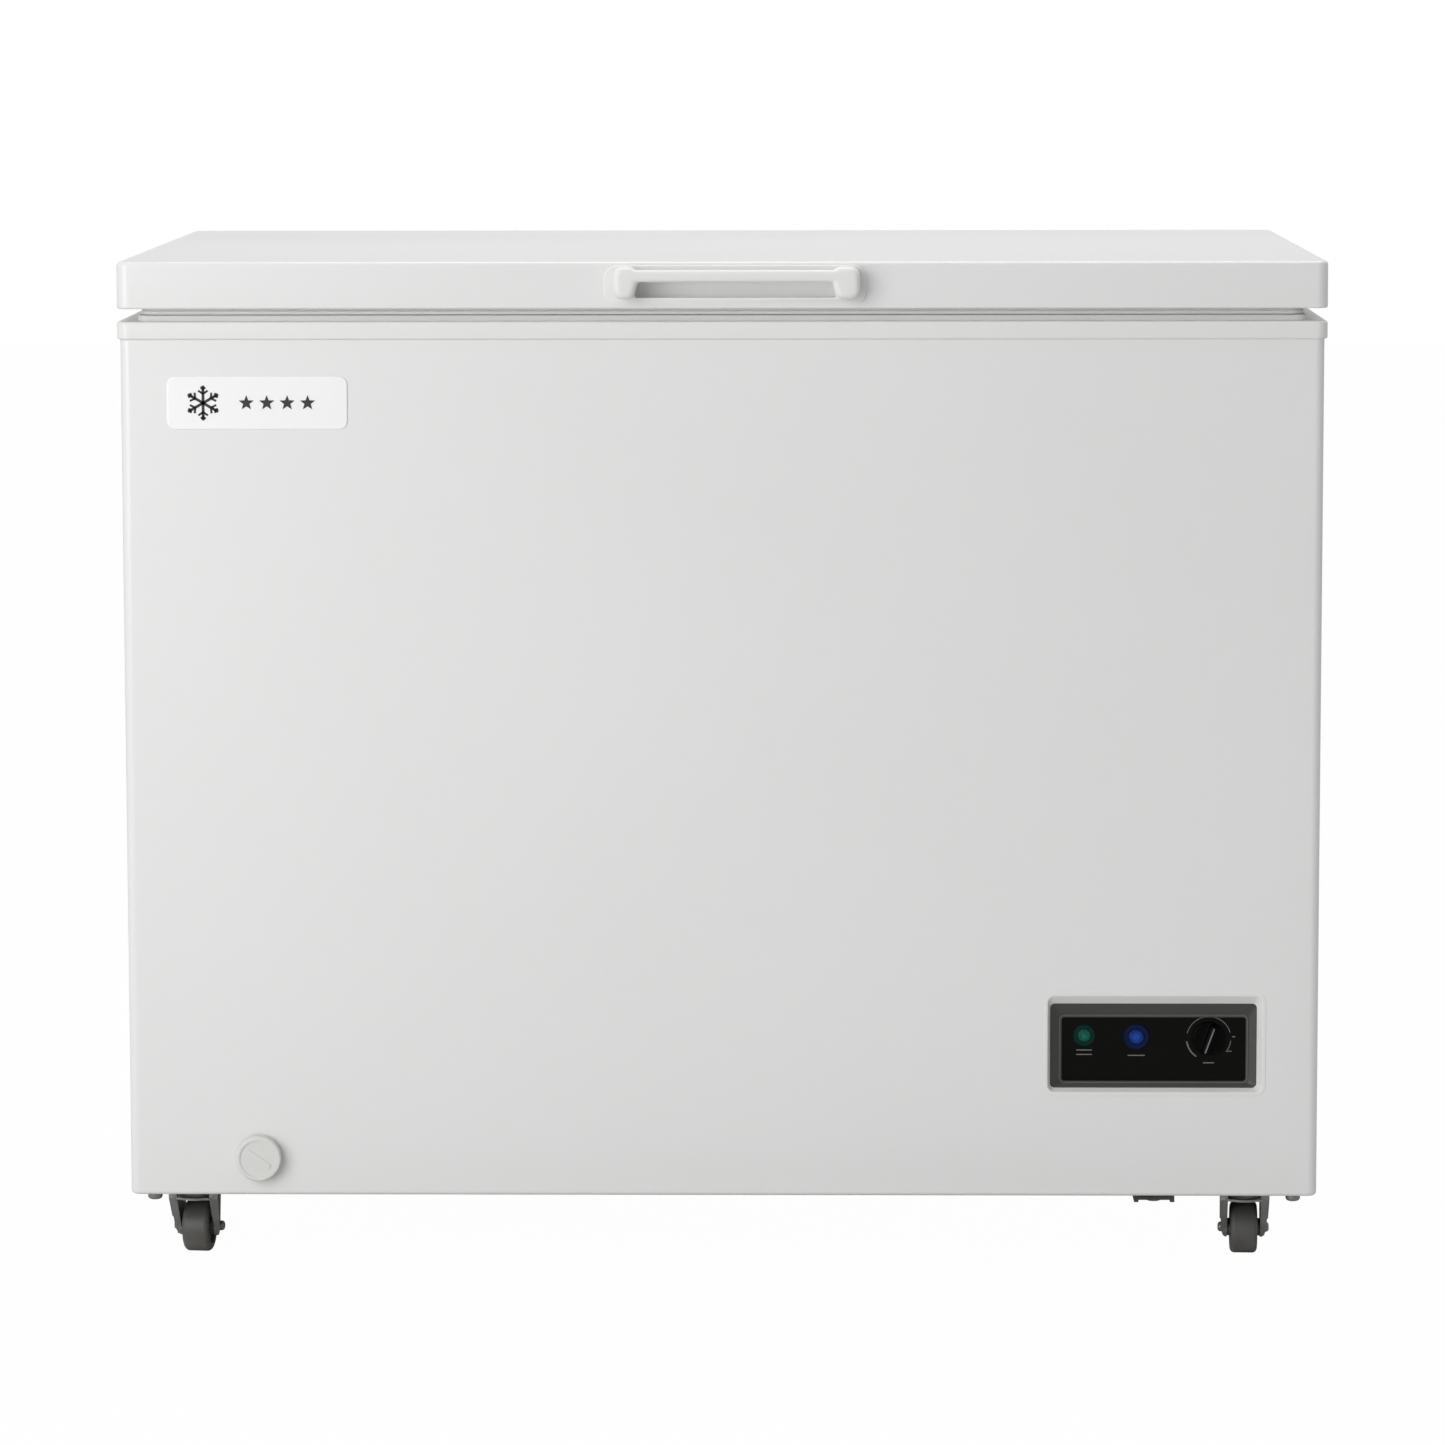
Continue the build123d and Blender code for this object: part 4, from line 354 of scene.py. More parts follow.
# pale grey for the strip on the black knob: painted highlight of the ridge's crest
ridgeHighlightPaint = newMaterial("ridgeHighlightPaint", colour=(0.16, 0.16, 0.17), roughness=0.5, bump=0.05)
badgeInk = newMaterial("badgeInk", colour=(0.022, 0.021, 0.019), roughness=0.45, bump=0.05)
beadMoulding = newMaterial(
    "beadMoulding", colour=(0.125, 0.125, 0.12), roughness=0.38, bump=0.12, rippleScale=1500, specular=0.5)
print("finishes done:", len(bpy.data.materials))


# ---- helpers for pieces

def addPiece(name, mesh, body, slot, replaced=(), material=None):
    piece = bpy.data.objects.new(name, mesh)
    bpy.context.scene.collection.objects.link(piece)
    if material or not mesh.materials:
        mesh.materials.clear()
        mesh.materials.append(material or finish[slot])
    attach(piece, body)
    if replaced:
        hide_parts(*replaced)
    return piece


def shadeRound(mesh, angle):
    for face in mesh.polygons:
        face.use_smooth = True
    mesh.set_sharp_from_angle(angle=math.radians(angle))


def joinedCopy(node):
    # the CAD node's own shape, with its triangles joined along shared edges and its flat faces whole
    work = bmesh.new()
    work.from_mesh(nodes[node].data)
    bmesh.ops.remove_doubles(work, verts=work.verts, dist=1e-6)
    bmesh.ops.dissolve_degenerate(work, edges=work.edges, dist=1e-7)
    bmesh.ops.dissolve_limit(work, angle_limit=math.radians(0.5), verts=work.verts, edges=work.edges)
    mesh = bpy.data.meshes.new(node + "Shape")
    work.to_mesh(mesh)
    work.free()
    mesh.materials.clear()
    return mesh


def islandBoxes(node):
    # lowest and highest corner of every separate solid in a node
    work = bmesh.new()
    work.from_mesh(nodes[node].data)
    bmesh.ops.remove_doubles(work, verts=work.verts, dist=1e-6)
    seen, boxes = set(), []
    for first in work.verts:
        if first.index in seen:
            continue
        seen.add(first.index)
        pile, places = [first], []
        while pile:
            vert = pile.pop()
            places.append(vert.co.copy())
            for edge in vert.link_edges:
                other = edge.other_vert(vert)
                if other.index not in seen:
                    seen.add(other.index)
                    pile.append(other)
        boxes.append((Vector([min(p[k] for p in places) for k in range(3)]),
                      Vector([max(p[k] for p in places) for k in range(3)])))
    work.free()
    return boxes


def frozen(mesh, *setup):
    # the mesh after the modifiers that setup adds, with none of them left on it
    holder = bpy.data.objects.new("holder", mesh)
    bpy.context.scene.collection.objects.link(holder)
    for kind, values in setup:
        modifier = holder.modifiers.new(kind.lower(), kind)
        for key, value in values.items():
            if isinstance(modifier, bpy.types.NodesModifier) and key != "node_group":
                modifier[key] = value
            else:
                setattr(modifier, key, value)
    graph = bpy.context.evaluated_depsgraph_get()
    graph.update()
    result = bpy.data.meshes.new_from_object(holder.evaluated_get(graph), depsgraph=graph)
    bpy.data.objects.remove(holder)
    return result


def newTree(name, inputs):
    tree = bpy.data.node_groups.new(name, "GeometryNodeTree")
    tree.interface.new_socket("Geometry", in_out="INPUT", socket_type="NodeSocketGeometry")
    for label, kind, default in inputs:
        socket = tree.interface.new_socket(label, in_out="INPUT", socket_type=kind)
        if default is not None:
            socket.default_value = default
    tree.interface.new_socket("Geometry", in_out="OUTPUT", socket_type="NodeSocketGeometry")
    return tree, tree.nodes.new("NodeGroupInput"), tree.nodes.new("NodeGroupOutput")


def endTree(tree, inside, outside, geometry):
    # every tree ends in Realize Instances and Set Material
    real = tree.nodes.new("GeometryNodeRealizeInstances")
    paint = tree.nodes.new("GeometryNodeSetMaterial")
    tree.links.new(geometry, real.inputs["Geometry"])
    tree.links.new(real.outputs["Geometry"], paint.inputs["Geometry"])
    tree.links.new(inside.outputs["Finish"], paint.inputs["Material"])
    tree.links.new(paint.outputs["Geometry"], outside.inputs["Geometry"])


def socketValues(tree, values):
    # named inputs turned into the identifiers that the modifier is set by
    found = {item.name: item.identifier for item in tree.interface.items_tree
             if item.item_type == "SOCKET" and item.in_out == "INPUT"}
    return {found[label]: value for label, value in values.items()}


def growTree(mesh, tree, **values):
    return frozen(mesh, ("NODES", {"node_group": tree, **socketValues(tree, values)}))


def edgeMesh(name, runs):
    # open or closed runs of points, as bare edges
    verts, edges = [], []
    for points, closed in runs:
        start = len(verts)
        verts.extend(points)
        edges.extend((start + k, start + k + 1) for k in range(len(points) - 1))
        if closed:
            edges.append((len(verts) - 1, start))
    mesh = bpy.data.meshes.new(name)
    mesh.from_pydata([tuple(v) for v in verts], edges, [])
    return mesh


def makeWireTree():
    # round wire or tube along every run of edges, with bent corners
    tree, inside, outside = newTree("bentWire", [
        ("Wire Radius", "NodeSocketFloat", 1.5 * mm), ("Bend Radius", "NodeSocketFloat", 6 * mm),
        ("Sides", "NodeSocketInt", 12), ("Finish", "NodeSocketMaterial", None)])
    add, link = tree.nodes.new, tree.links.new
    path, bend, ring, skin = (add("GeometryNodeMeshToCurve"), add("GeometryNodeFilletCurve"),
                              add("GeometryNodeCurvePrimitiveCircle"), add("GeometryNodeCurveToMesh"))
    bend.mode = "POLY"
    bend.inputs["Count"].default_value = 6
    bend.inputs["Limit Radius"].default_value = True
    skin.inputs["Fill Caps"].default_value = True
    link(inside.outputs["Geometry"], path.inputs["Mesh"])
    link(path.outputs["Curve"], bend.inputs["Curve"])
    link(inside.outputs["Bend Radius"], bend.inputs["Radius"])
    link(inside.outputs["Sides"], ring.inputs["Resolution"])
    link(inside.outputs["Wire Radius"], ring.inputs["Radius"])
    link(bend.outputs["Curve"], skin.inputs["Curve"])
    link(ring.outputs["Curve"], skin.inputs["Profile Curve"])
    endTree(tree, inside, outside, skin.outputs["Mesh"])
    return tree


def makeSpringTree():
    # a close-wound torsion spring on every point, lying along X
    tree, inside, outside = newTree("torsionSpring", [
        ("Coil Radius", "NodeSocketFloat", 6 * mm), ("Wire Radius", "NodeSocketFloat", 0.9 * mm),
        ("Length", "NodeSocketFloat", 30 * mm), ("Turns", "NodeSocketFloat", 14.0),
        ("Finish", "NodeSocketMaterial", None)])
    add, link = tree.nodes.new, tree.links.new
    coil, ring, skin = (add("GeometryNodeCurveSpiral"), add("GeometryNodeCurvePrimitiveCircle"),
                        add("GeometryNodeCurveToMesh"))
    turn, copies = add("GeometryNodeTransform"), add("GeometryNodeInstanceOnPoints")
    coil.inputs["Resolution"].default_value = 20
    ring.inputs["Resolution"].default_value = 10
    skin.inputs["Fill Caps"].default_value = True
    for label, socket in (("Turns", "Rotations"), ("Coil Radius", "Start Radius"),
                          ("Coil Radius", "End Radius"), ("Length", "Height")):
        link(inside.outputs[label], coil.inputs[socket])
    link(inside.outputs["Wire Radius"], ring.inputs["Radius"])
    link(coil.outputs["Curve"], skin.inputs["Curve"])
    link(ring.outputs["Curve"], skin.inputs["Profile Curve"])
    turn.inputs["Rotation"].default_value = (0.0, math.pi / 2, 0.0)
    link(skin.outputs["Mesh"], turn.inputs["Geometry"])
    link(inside.outputs["Geometry"], copies.inputs["Points"])
    link(turn.outputs["Geometry"], copies.inputs["Instance"])
    endTree(tree, inside, outside, copies.outputs["Instances"])
    return tree


def makeScrewTree():
    # one screw head on every point, turned to face its way, each stopped at its own angle
    tree, inside, outside = newTree("screwHeads", [
        ("Head", "NodeSocketObject", None), ("Size", "NodeSocketFloat", 1.0),
        ("Facing", "NodeSocketVector", (0.0, 0.0, 0.0)), ("Seed", "NodeSocketInt", 7),
        ("Finish", "NodeSocketMaterial", None)])
    add, link = tree.nodes.new, tree.links.new
    head, copies = add("GeometryNodeObjectInfo"), add("GeometryNodeInstanceOnPoints")
    spin, chance = add("GeometryNodeRotateInstances"), add("FunctionNodeRandomValue")
    joined = add("ShaderNodeCombineXYZ")
    chance.data_type = "FLOAT"
    floats = [socket for socket in chance.inputs if socket.type == "VALUE" and socket.enabled]
    floats[0].default_value, floats[1].default_value = 0.0, math.pi
    link(inside.outputs["Seed"], chance.inputs["Seed"])
    link([socket for socket in chance.outputs if socket.enabled][0], joined.inputs["Z"])
    link(inside.outputs["Head"], head.inputs["Object"])
    link(inside.outputs["Geometry"], copies.inputs["Points"])
    link(head.outputs["Geometry"], copies.inputs["Instance"])
    link(inside.outputs["Facing"], copies.inputs["Rotation"])
    link(inside.outputs["Size"], copies.inputs["Scale"])
    link(copies.outputs["Instances"], spin.inputs["Instances"])
    link(joined.outputs["Vector"], spin.inputs["Rotation"])
    endTree(tree, inside, outside, spin.outputs["Instances"])
    return tree


wireTree = makeWireTree()
springTree = makeSpringTree()
screwTree = makeScrewTree()


def lathe(profile, steps, name):
    # profile of (radius, z) turned about Z
    work = bmesh.new()
    rows = []
    for radius, z in profile:
        if radius < 1e-7:
            rows.append([work.verts.new((0, 0, z))])
        else:
            rows.append([work.verts.new((radius * math.cos(a), radius * math.sin(a), z))
                         for a in (2 * math.pi * k / steps for k in range(steps))])
    for low, high in zip(rows, rows[1:]):
        for k in range(steps):
            corners = [low[k % len(low)], low[(k + 1) % len(low)],
                       high[(k + 1) % len(high)], high[k % len(high)]]
            corners = [c for i, c in enumerate(corners) if c not in corners[:i]]
            if len(corners) > 2:
                work.faces.new(corners)
    bmesh.ops.recalc_face_normals(work, faces=work.faces)
    mesh = bpy.data.meshes.new(name)
    work.to_mesh(mesh)
    work.free()
    return mesh


def prismInto(work, outline, back, front):
    # a flat shape in x and z given thickness along y
    rear = [work.verts.new((x, back, z)) for x, z in outline]
    face = [work.verts.new((x, front, z)) for x, z in outline]
    work.faces.new(face)
    work.faces.new(list(reversed(rear)))
    for k in range(len(outline)):
        n = (k + 1) % len(outline)
        work.faces.new((rear[k], rear[n], face[n], face[k]))


def prismMesh(name, outlines, back, front):
    work = bmesh.new()
    for outline in outlines:
        prismInto(work, outline, back, front)
    bmesh.ops.recalc_face_normals(work, faces=work.faces)
    mesh = bpy.data.meshes.new(name)
    work.to_mesh(mesh)
    work.free()
    return mesh


def arcOutline(centre, radius, width, start, end, steps=14):
    # a band of an arc; angles in degrees, clockwise from straight up
    angles = [math.radians(start + (end - start) * k / steps) for k in range(steps + 1)]
    outer = [(centre[0] + (radius + width / 2) * math.sin(a), centre[1] + (radius + width / 2) * math.cos(a))
             for a in angles]
    inner = [(centre[0] + (radius - width / 2) * math.sin(a), centre[1] + (radius - width / 2) * math.cos(a))
             for a in angles]
    return outer + inner[::-1]


def barOutline(centre, width, height, turn=0.0):
    c, s = math.cos(math.radians(turn)), math.sin(math.radians(turn))
    w, h = width / 2, height / 2
    corners = [(-w, -h), (w, -h), (w, h), (-w, h)]
    return [(centre[0] + c * x - s * z, centre[1] + s * x + c * z) for x, z in corners]


def starOutline(centre, reach, waist):
    # a five-pointed star, its points at reach and its inner corners at waist
    places = []
    for i in range(10):
        a, radius = math.pi * i / 5, waist if i % 2 else reach
        places.append((centre[0] + radius * math.sin(a), centre[1] + radius * math.cos(a)))
    return places


def cornerOutline(centre, width, height, radius, steps=6):
    # a rectangle with round corners, run anticlockwise
    places = []
    for sx, sz, start in ((1, 1, 0), (-1, 1, 90), (-1, -1, 180), (1, -1, 270)):
        for k in range(steps + 1):
            a = math.radians(start + 90 * k / steps)
            places.append((centre[0] + sx * (width / 2 - radius) + radius * math.cos(a),
                           centre[1] + sz * (height / 2 - radius) + radius * math.sin(a)))
    return places


def stackedRing(name, loops):
    # closed ring skinned through loops of (outline, y), each outline with as many points
    work = bmesh.new()
    rows = [[work.verts.new((x, y, z)) for x, z in outline] for outline, y in loops]
    for one, two in zip(rows, rows[1:] + rows[:1]):
        for k in range(len(one)):
            n = (k + 1) % len(one)
            work.faces.new((one[k], one[n], two[n], two[k]))
    bmesh.ops.recalc_face_normals(work, faces=work.faces)
    mesh = bpy.data.meshes.new(name)
    work.to_mesh(mesh)
    work.free()
    return mesh


def midpoint(node):
    low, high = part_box(node)
    return (Vector(low) + Vector(high)) / 2


# ---- lid handle: the grip's ends flow into its bosses as one moulding

handle = dict(voxel=0.85 * mm, rounds=14, edge=60.0)
shape = joinedCopy("lid_handle")
grip = frozen(shape, ("REMESH", dict(mode="VOXEL", voxel_size=handle["voxel"])),
              ("SMOOTH", dict(factor=0.5, iterations=handle["rounds"])))
shadeRound(grip, handle["edge"])
addPiece("lidGrip", grip, bodyOf["lid_handle"], slotOf["lid_handle"], ("lid_handle",))
print("handle done:", len(grip.polygons))


# ---- thermostat knob: moulded, with a soft ridge

knob = dict(voxel=0.33 * mm, rounds=3, edge=50.0)
shape = joinedCopy("thermostat_knob")
dialKnob = frozen(shape, ("REMESH", dict(mode="VOXEL", voxel_size=knob["voxel"])),
                  ("SMOOTH", dict(factor=0.5, iterations=knob["rounds"])))
shadeRound(dialKnob, knob["edge"])
addPiece("dialKnob", dialKnob, bodyOf["thermostat_knob"], slotOf["thermostat_knob"], ("thermostat_knob",),
         own["thermostat_knob"])
print("knob done:", len(dialKnob.polygons))


# ---- printed scale round the knob, and plain dashes where the lamps are labelled

panelPrint = dict(
    radius=18.6 * mm, width=0.7 * mm, thick=0.12 * mm,
    arcs=[(214, 262, 1.7), (284, 348, 0.8), (14, 74, 0.9), (96, 128, 1.0)],        # start, end, width's share
    ticks=[(-2, 21.2, 0.8, 2.0), (86, 21.0, 2.4, 1.0), (122, 20.6, 3.6, 0.8)],     # angle, radius, wide, tall
    dialDash=(9.5, 0.9, -20.8),                                                    # wide, tall, drop
    lampDashes=[(13.0, 0.9, -12.6), (13.0, 0.9, -16.4)], runDash=(14.5, 0.9, -16.0))
dialPlace = midpoint("thermostat_knob")
dialAt = (dialPlace[0], dialPlace[2])
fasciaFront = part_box("control_fascia")[0][1]
outlines = [arcOutline(dialAt, panelPrint["radius"], panelPrint["width"] * share, start, end)
            for start, end, share in panelPrint["arcs"]]
for angle, radius, wide, tall in panelPrint["ticks"]:
    a = math.radians(angle)
    spot = (dialAt[0] + radius * mm * math.sin(a), dialAt[1] + radius * mm * math.cos(a))
    outlines.append(barOutline(spot, wide * mm, tall * mm))
wide, tall, drop = panelPrint["dialDash"]
outlines.append(barOutline((dialAt[0], dialAt[1] + drop * mm), wide * mm, tall * mm))
for lamp, dashes in (("power_lamp_lens", panelPrint["lampDashes"]),
                     ("run_lamp_lens", [panelPrint["runDash"]])):
    spot = midpoint(lamp)
    for wide, tall, drop in dashes:
        outlines.append(barOutline((spot[0], spot[2] + drop * mm), wide * mm, tall * mm))
ink = prismMesh("panelPrint", outlines, fasciaFront, fasciaFront - panelPrint["thick"])
addPiece("panelPrint", ink, "cabinet", "white_plastic", material=panelInk)


# ---- bead moulded round the fascia, and a pale strip along the knob's ridge: a painted highlight of the ridge's crest

bead = dict(gap=-3.9 * mm, wide=3.0 * mm, crown=2.4 * mm, corner=6.4 * mm, sink=0.4 * mm, edge=50)
low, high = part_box("control_fascia")
beadAt = ((low[0] + high[0]) / 2, (low[2] + high[2]) / 2)
beadLoops = []
for grow, lift in ((0.0, 0.0), (0.25, 0.75), (0.5, 1.0), (0.75, 0.75), (1.0, 0.0)):
    away = bead["gap"] + grow * bead["wide"]
    beadLoops.append((cornerOutline(beadAt, high[0] - low[0] + 2 * away, high[2] - low[2] + 2 * away,
                                    bead["corner"] + away), fasciaFront - lift * bead["crown"]))
beadLoops.append((beadLoops[-1][0], fasciaFront + bead["sink"]))
beadLoops.append((beadLoops[0][0], fasciaFront + bead["sink"]))
fasciaBead = stackedRing("fasciaBead", beadLoops)
shadeRound(fasciaBead, bead["edge"])
addPiece("fasciaBead", fasciaBead, "cabinet", "dark_frame", material=beadMoulding)

# a pale strip laid on the knob's ridge: painted highlight where the crest would catch the light
ridgeHighlight = dict(long=22.0 * mm, wide=1.2 * mm, turn=-20.0, sink=0.5 * mm, proud=0.15 * mm)
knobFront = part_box("thermostat_knob")[0][1]
line = prismMesh("knobPointer", [barOutline(dialAt, ridgeHighlight["wide"], ridgeHighlight["long"], ridgeHighlight["turn"])],
                 knobFront + ridgeHighlight["sink"], knobFront - ridgeHighlight["proud"])
addPiece("knobPointer", line, bodyOf["thermostat_knob"], "white_plastic", material=ridgeHighlightPaint)


# ---- badge: a plain snow crystal and four stars, no wording

badge = dict(thick=0.25 * mm, inset=30 * mm, crystal=14.5 * mm, arm=2.3 * mm, twig=5.6 * mm, twigLean=55,
             knots=(0.52, 0.80), star=6.6 * mm, waist=0.42, firstStar=36 * mm, pitch=17.0 * mm)
low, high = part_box("badge_plate")
badgeFront = low[1]
crystalAt = (low[0] + badge["inset"], (low[2] + high[2]) / 2)


def awayFrom(start, angle, reach):
    # the point at a reach and an angle, clockwise from straight up
    return start[0] + math.sin(angle) * reach, start[1] + math.cos(angle) * reach


outlines = []
for k in range(6):
    a = math.radians(60 * k)
    outlines.append(barOutline(awayFrom(crystalAt, a, badge["crystal"] / 2),
                               badge["arm"], badge["crystal"], -60.0 * k))
    for share in badge["knots"]:
        knot = awayFrom(crystalAt, a, badge["crystal"] * share)
        reach = badge["twig"] * (1.1 - share) * 1.5
        for lean in (-badge["twigLean"], badge["twigLean"]):
            outlines.append(barOutline(awayFrom(knot, a + math.radians(lean), reach / 2),
                                       badge["arm"] * 0.75, reach, -60.0 * k - lean))
for k in range(4):
    middle = (crystalAt[0] + badge["firstStar"] + k * badge["pitch"], crystalAt[1])
    outlines.append(starOutline(middle, badge["star"], badge["star"] * badge["waist"]))
emblem = prismMesh("badgeEmblem", outlines, badgeFront, badgeFront - badge["thick"])
addPiece("badgeEmblem", emblem, "cabinet", "dark_frame", material=badgeInk)
print("panel print and badge done")


# ---- lid gasket: a magnet bead under a folded bellows, swept round the lid as one closed ring

gasket = dict(
    corner=12 * mm, cornerSteps=7, width=16 * mm, edge=28,
    side=[(0.9, 0.02), (0.5, 0.10), (0.5, 0.38), (0.9, 0.46), (1.9, 0.51), (0.9, 0.58), (1.7, 0.70),
          (0.3, 0.80), (0.2, 0.99)])                          # inset in mm, share of the height


def sweptRing(name, profile, half, corner, steps):
    # every profile point (inset, z) becomes one loop round the rectangle
    work = bmesh.new()
    first = min(inset for inset, z in profile)
    loops = []
    for inset, z in profile:
        radius = max(corner - 0.5 * (inset - first), 2 * mm)
        hx, hy = half[0] - inset - radius, half[1] - inset - radius
        loop = []
        for cx, cy, start in ((hx, hy, 0), (-hx, hy, 90), (-hx, -hy, 180), (hx, -hy, 270)):
            for k in range(steps + 1):
                a = math.radians(start + 90 * k / steps)
                loop.append(work.verts.new((cx + radius * math.cos(a), cy + radius * math.sin(a), z)))
        loops.append(loop)
    for one, two in zip(loops, loops[1:] + loops[:1]):
        for k in range(len(one)):
            n = (k + 1) % len(one)
            work.faces.new((one[k], one[n], two[n], two[k]))
    bmesh.ops.recalc_face_normals(work, faces=work.faces)
    mesh = bpy.data.meshes.new(name)
    work.to_mesh(mesh)
    work.free()
    return mesh


low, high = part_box("lid_gasket")
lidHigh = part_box("lid_skin")[1]
outer, bottom, tall = lidHigh[0] - high[0], low[2], high[2] - low[2]
profile = [(outer + away * mm, bottom + share * tall) for away, share in gasket["side"]]
profile += [(outer + gasket["width"] - away * mm, bottom + share * tall)
            for away, share in reversed(gasket["side"])]
seal = sweptRing("lidSeal", profile, (lidHigh[0], lidHigh[1]), gasket["corner"], gasket["cornerSteps"])
shadeRound(seal, gasket["edge"])
addPiece("lidSeal", seal, bodyOf["lid_gasket"], slotOf["lid_gasket"], ("lid_gasket",))
print("gasket done")


# ---- basket wires: hoops across and along, each bent up at its ends

basket = dict(bend=7 * mm, sides=12, edge=50)
runs = []
for low, high in islandBoxes("basket_wires"):
    size = high - low
    thin = 0 if size[0] < size[1] else 1
    wide = 1 - thin
    wireRadius = size[thin] / 2
    middle = (low[thin] + high[thin]) / 2
    left, right, floor = low[wide] + wireRadius, high[wide] - wireRadius, low[2] + wireRadius
    points = []
    for along, z in ((left, high[2]), (left, floor), (right, floor), (right, high[2])):
        place = Vector((0, 0, z))
        place[thin], place[wide] = middle, along
        points.append(place)
    runs.append((points, False))
hoops = growTree(edgeMesh("basketHoopPaths", runs), wireTree, **{
    "Wire Radius": wireRadius, "Bend Radius": basket["bend"], "Sides": basket["sides"],
    "Finish": finish["coated_wire"]})
shadeRound(hoops, basket["edge"])
addPiece("basketHoops", hoops, "basket", "coated_wire", ("basket_wires",))
print("basket hoops done:", len(runs))


# ---- hinge springs, wound round the pins

springs = dict(turns=14.0, wire=0.85 * mm, endGap=0.8 * mm, edge=50)
boxes = islandBoxes("hinge_springs")
starts = [(low[0] + springs["endGap"], (low[1] + high[1]) / 2, (low[2] + high[2]) / 2) for low, high in boxes]
low, high = boxes[0]
coils = growTree(edgeMesh("springPlaces", [([Vector(p)], False) for p in starts]), springTree, **{
    "Coil Radius": (high[1] - low[1]) / 2 - springs["wire"], "Wire Radius": springs["wire"],
    "Length": high[0] - low[0] - 2 * springs["endGap"], "Turns": springs["turns"],
    "Finish": finish["zinc_steel"]})
shadeRound(coils, springs["edge"])
addPiece("hingeCoils", coils, "cabinet", "zinc_steel", ("hinge_springs",))
print("springs done:", len(starts))


# ---- screws in the back, with cross recesses

screwHead = dict(
    dome=[(0.0, 0.0), (1.0, 0.0), (1.0, 0.14), (0.93, 0.34), (0.72, 0.52), (0.40, 0.62), (0.0, 0.65)],
    domeTop=0.65, tall=0.55, slotLong=1.05, slotWide=0.24, slotDeep=0.34, steps=24, shrink=0.999,
    sizeStep=0.05 * mm, seed=11, edge=35)


def crossHead(name, radius, height):
    # a domed head with a cross cut into it, its foot on z = 0
    top = screwHead["domeTop"]
    dome = lathe([(r * radius, z / top * height) for r, z in screwHead["dome"]], screwHead["steps"], name)
    cutter = bmesh.new()
    for turned in (0, 1):
        size = [screwHead["slotLong"] * radius, screwHead["slotWide"] * radius, height]
        if turned:
            size[0], size[1] = size[1], size[0]
        made = bmesh.ops.create_cube(cutter, size=1.0)["verts"]
        bmesh.ops.scale(cutter, vec=size, verts=made)
        lift = height * (1.5 - screwHead["slotDeep"] / top * 1.3)
        bmesh.ops.translate(cutter, vec=(0, 0, lift), verts=made)
    tool = bpy.data.meshes.new(name + "Cross")
    cutter.to_mesh(tool)
    cutter.free()
    toolObject = bpy.data.objects.new(name + "Cross", tool)
    bpy.context.scene.collection.objects.link(toolObject)
    cut = frozen(dome, ("BOOLEAN", dict(
        operation="DIFFERENCE", solver="EXACT", use_self=True, object=toolObject)))
    bpy.data.objects.remove(toolObject)
    return cut


def placeHeads(name, node, facing, axis, outward, body):
    # a head on every solid of the node, as wide as the solid's own head; solids of one size share a mesh
    bySize = {}
    across = [k for k in range(3) if k != axis]
    for low, high in islandBoxes(node):
        radius = min(high[k] - low[k] for k in across) / 2
        key = round(radius / screwHead["sizeStep"]) * screwHead["sizeStep"]
        tip = high[axis] if outward > 0 else low[axis]
        bySize.setdefault(key, []).append(((low + high) / 2, tip))
    for index, (radius, spots) in enumerate(bySize.items()):
        height = screwHead["tall"] * radius
        headMesh = crossHead(name + "Head", radius * screwHead["shrink"], height)
        head = bpy.data.objects.new(name + "Head", headMesh)
        bpy.context.scene.collection.objects.link(head)
        runs = []
        for place, tip in spots:
            place[axis] = tip - outward * height
            runs.append(([place], False))
        mesh = growTree(edgeMesh(name + "Places", runs), screwTree, **{
            "Head": head, "Size": 1.0, "Facing": facing, "Seed": screwHead["seed"],
            "Finish": finish["zinc_steel"]})
        shadeRound(mesh, screwHead["edge"])
        bpy.data.objects.remove(head)
        addPiece(f"{name}{index + 1}", mesh, body, "zinc_steel", (node,))
    return sum(len(spots) for spots in bySize.values())


backCount = placeHeads("backScrews", "rear_screws", (-math.pi / 2, 0.0, 0.0), 1, 1, "cabinet")
print("back screws done:", backCount)


# ---- every other CAD node: its own shape, joined and shaded, with its finish

detailed = {"lid_handle", "thermostat_knob", "lid_gasket", "basket_wires", "hinge_springs", "rear_screws"}
skinEdge = 32
for node in nodes:
    if node in detailed:
        continue
    skin = joinedCopy(node)
    shadeRound(skin, skinEdge)
    addPiece(node + ".skin", skin, bodyOf[node], slotOf[node], (node,), own.get(node))
print("skins done")


# ---- studio

studio = dict(
    floorSize=24.0,
    cameraPlace=(77.6 * mm, -4994.6 * mm, 1078.1 * mm),
    cameraPitch=0.1094, cameraYaw=-0.0164, cameraRoll=-0.0018,
    lens=141.2, shiftUp=-0.080,
    skyFront=0.40, skyBack=0.66, floorWhite=0.985, floorBounce=0.62,
    keyPlace=(-2.6, -3.7, 1.6), keySize=3.2, keyPower=113,
    topPlace=(0.3, 0.6, 3.4), topSize=2.6, topPower=44)


